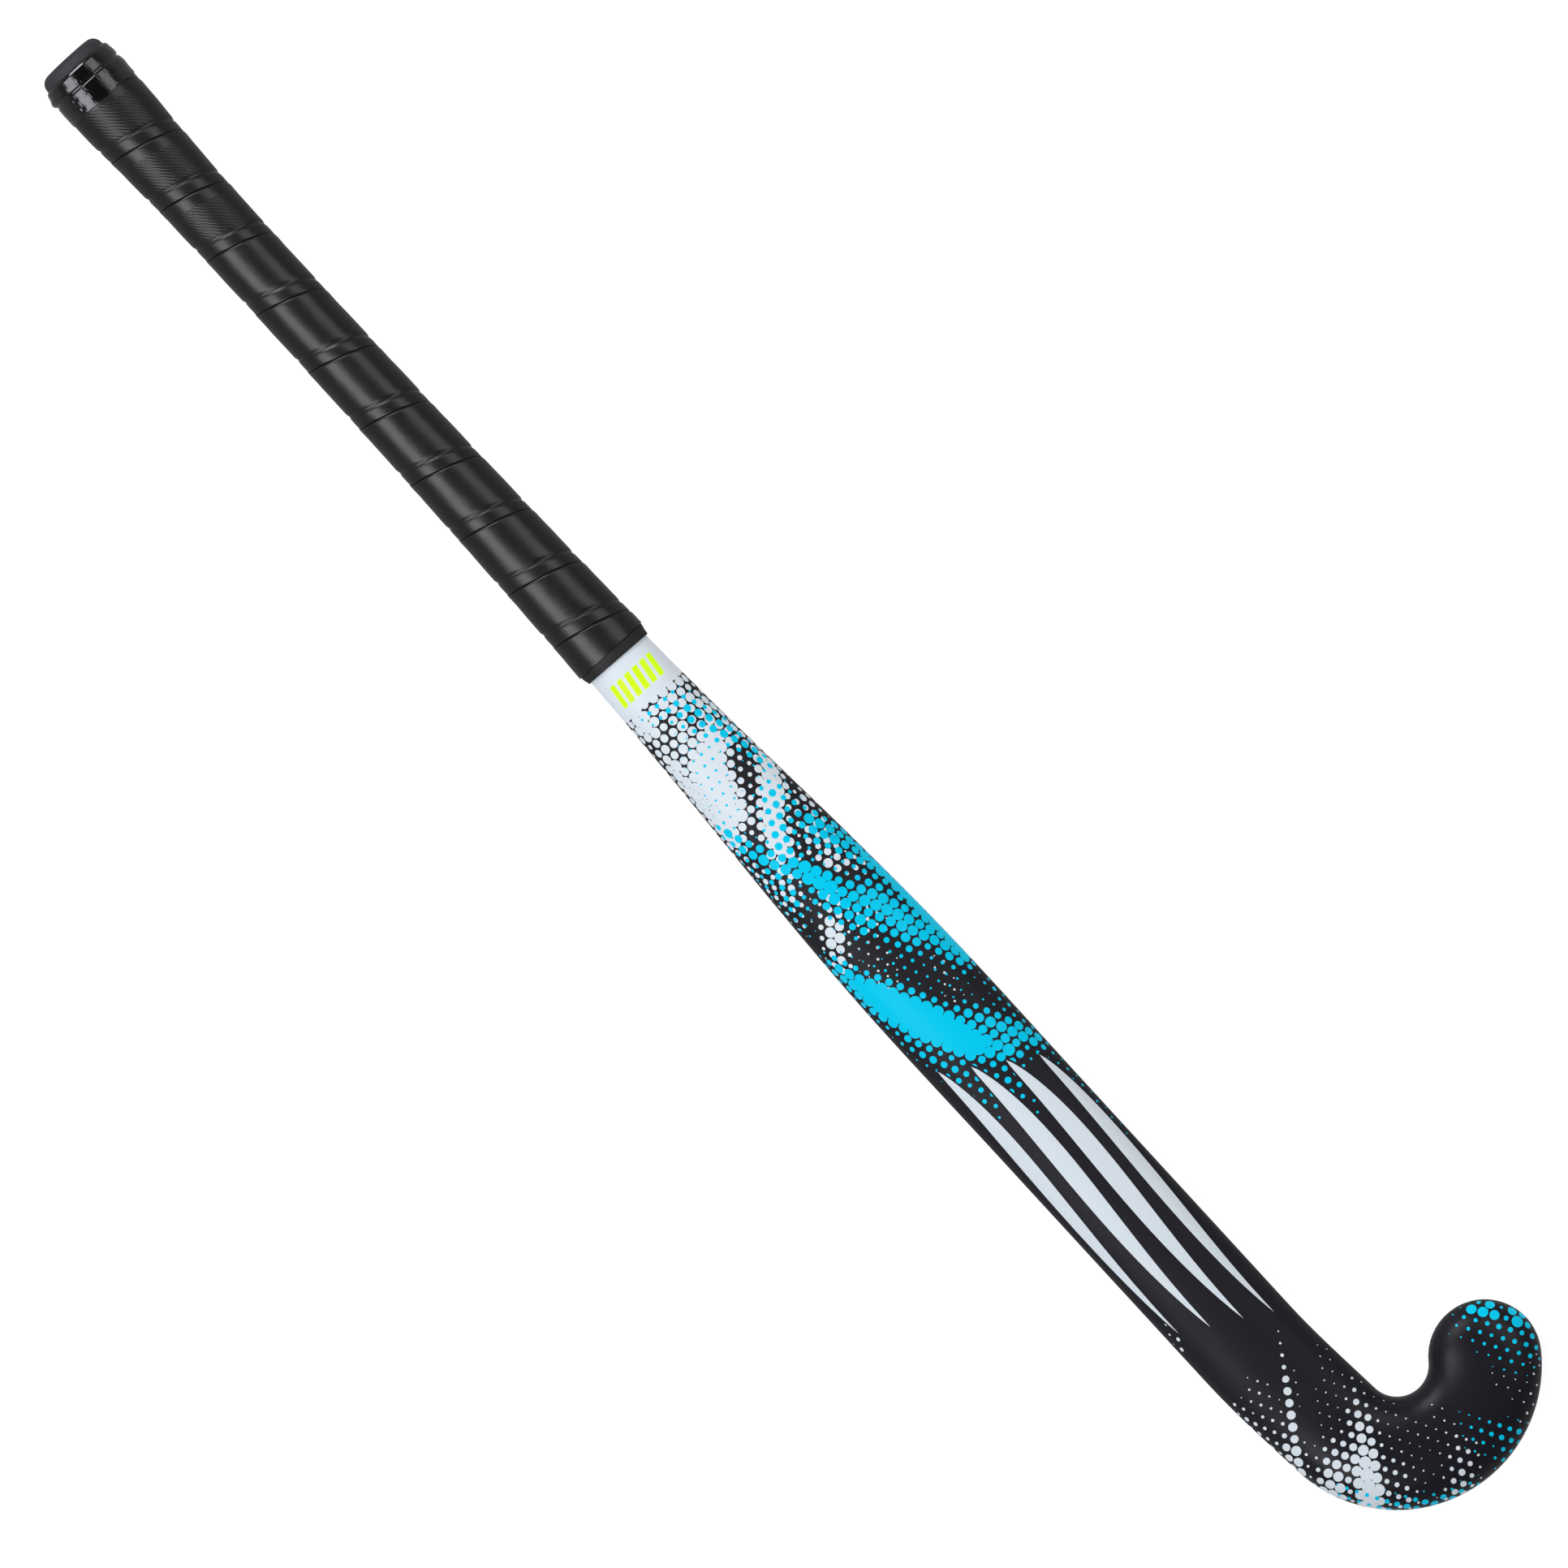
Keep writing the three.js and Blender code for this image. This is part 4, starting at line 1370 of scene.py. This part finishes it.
def finish_hidden_nodes():
    laminate = weave("bare_laminate", rgb(196, 190, 150))
    aramid = weave("aramid", rgb(214, 178, 60))
    rigid_foam = foam("rigid_foam", rgb(230, 217, 168))
    cushion = foam("underlay_cushion", rgb(214, 214, 208))
    plastic = moulded("plug_plastic", rgb(88, 90, 94))
    finishes = {
        "toe_side_tube": laminate, "heel_side_tube": laminate, "face_plate": laminate,
        "toe_side_foam_core": rigid_foam, "heel_side_foam_core": rigid_foam,
        "head_core": rigid_foam, "edge_reinforcement": aramid, "end_plug": plastic,
        "grip_underlay": cushion,
    }
    for name, finish in finishes.items():
        for slot in frame["nodes"][name].material_slots:
            slot.material = finish


# ---- Stage ----

VIEW_WIDTH = 0.6746 # metres at the stick's height that the picture takes in
VIEW_DISTANCE = 10.0
VIEW_HEIGHT = 0.012
VIEW_CENTRE = (438.4, 16.0, 0) # in stick millimetres
VIEW_ROLL = math.radians(47.415)
SENSOR = 36
FLOOR_REACH = 6
FLOOR_GREY = 0.2
FAR_PALE = 0.9 # brightness of the floor and of the room behind it, far from the lights
# The room's brightness in reflections falls from the horizon to this height and above.
ROOM_LOW = 0.35
ROOM_HIGH = 0.03
ROOM_HIGH_FROM = 0.7
LIGHT_DISTANCE = 2.4
COOL = (0.95, 0.97, 1.0)
WARM = (1.0, 0.98, 0.95)
NEUTRAL = (0.97, 0.98, 1.0)
# (name, degrees from overhead, degrees round, length, width, watts, colour, seen in reflections)
SOFTBOXES = [
    ("key", 35.5, -90, 2.6, 1.25, 43.5, COOL, True),
    ("fill", 37, 90, 2.6, 1.15, 17, WARM, True),
    ("even", 40, 90, 2.6, 1.15, 9, NEUTRAL, False),
    ("end", 52, 180, 1.2, 0.9, 26, COOL, True),
]


def camera():
    data = bpy.data.cameras.new("camera")
    data.sensor_width = SENSOR
    data.lens = SENSOR * VIEW_DISTANCE / VIEW_WIDTH
    data.clip_end = 50
    made = placed("camera", data)
    place = in_row(VIEW_CENTRE)
    made.location = (place[0], place[1], VIEW_HEIGHT + VIEW_DISTANCE)
    made.rotation_euler = (0, 0, VIEW_ROLL)
    bpy.context.scene.camera = made


def floor():
    mesh = bpy.data.meshes.new("floor")
    corners = [(-1, -1), (1, -1), (1, 1), (-1, 1)]
    mesh.from_pydata([(FLOOR_REACH * x, FLOOR_REACH * y, 0) for x, y in corners], [], [(0, 1, 2, 3)])
    glow = {"Emission_Strength": FAR_PALE, "Emission_Color": (1, 1, 1, 1)}
    paper = material("floor_paper", (FLOOR_GREY,) * 3, 0.95, **glow)
    add_bump(paper, noise(paper, 40), 0.0001)
    mesh.materials.append(paper)
    made = placed("floor", mesh)
    made.visible_glossy = False


def softbox(name, tilt, turn, length, width, power, colour, mirrored):
    """A long soft light aimed at the stick's middle."""
    data = bpy.data.lights.new(name, "AREA")
    data.shape = "RECTANGLE"
    data.size = length
    data.size_y = width
    data.energy = power
    data.color = colour
    made = placed(name, data)
    made.visible_glossy = mirrored
    angle = math.radians(tilt)
    way = math.radians(turn)
    made.location = (
        LIGHT_DISTANCE * math.sin(angle) * math.cos(way),
        LIGHT_DISTANCE * math.sin(angle) * math.sin(way),
        LIGHT_DISTANCE * math.cos(angle),
    )
    long_side = Matrix.Rotation(way + math.pi / 2, 4, "Z") @ Matrix.Rotation(angle, 4, "X")
    made.rotation_euler = long_side.to_euler()


def room():
    """The studio round the stick: plain and pale to the camera, and dimmer in reflections."""
    world = bpy.data.worlds.new("studio")
    bpy.context.scene.world = world
    world.use_nodes = True
    place = node(world, "ShaderNodeTexCoord").outputs["Generated"]
    height = node(world, "ShaderNodeSeparateXYZ", Vector=place).outputs["Z"]
    dim = map_range(world, height, ROOM_LOW, ROOM_HIGH, 0, ROOM_HIGH_FROM)
    seen = node(world, "ShaderNodeLightPath").outputs["Is Camera Ray"]
    pale = node(world, "ShaderNodeMix", Factor=seen, A=dim, B=FAR_PALE).outputs["Result"]
    connect(world, world.node_tree.nodes["Background"], Color=(1, 1, 1, 1), Strength=pale)


camera()
skin()
grip()
top_tape()
lower_tape()
end_cap()
finish_hidden_nodes()
floor()
for light in SOFTBOXES:
    softbox(*light)
room()
bpy.context.scene.view_settings.view_transform = "Standard"
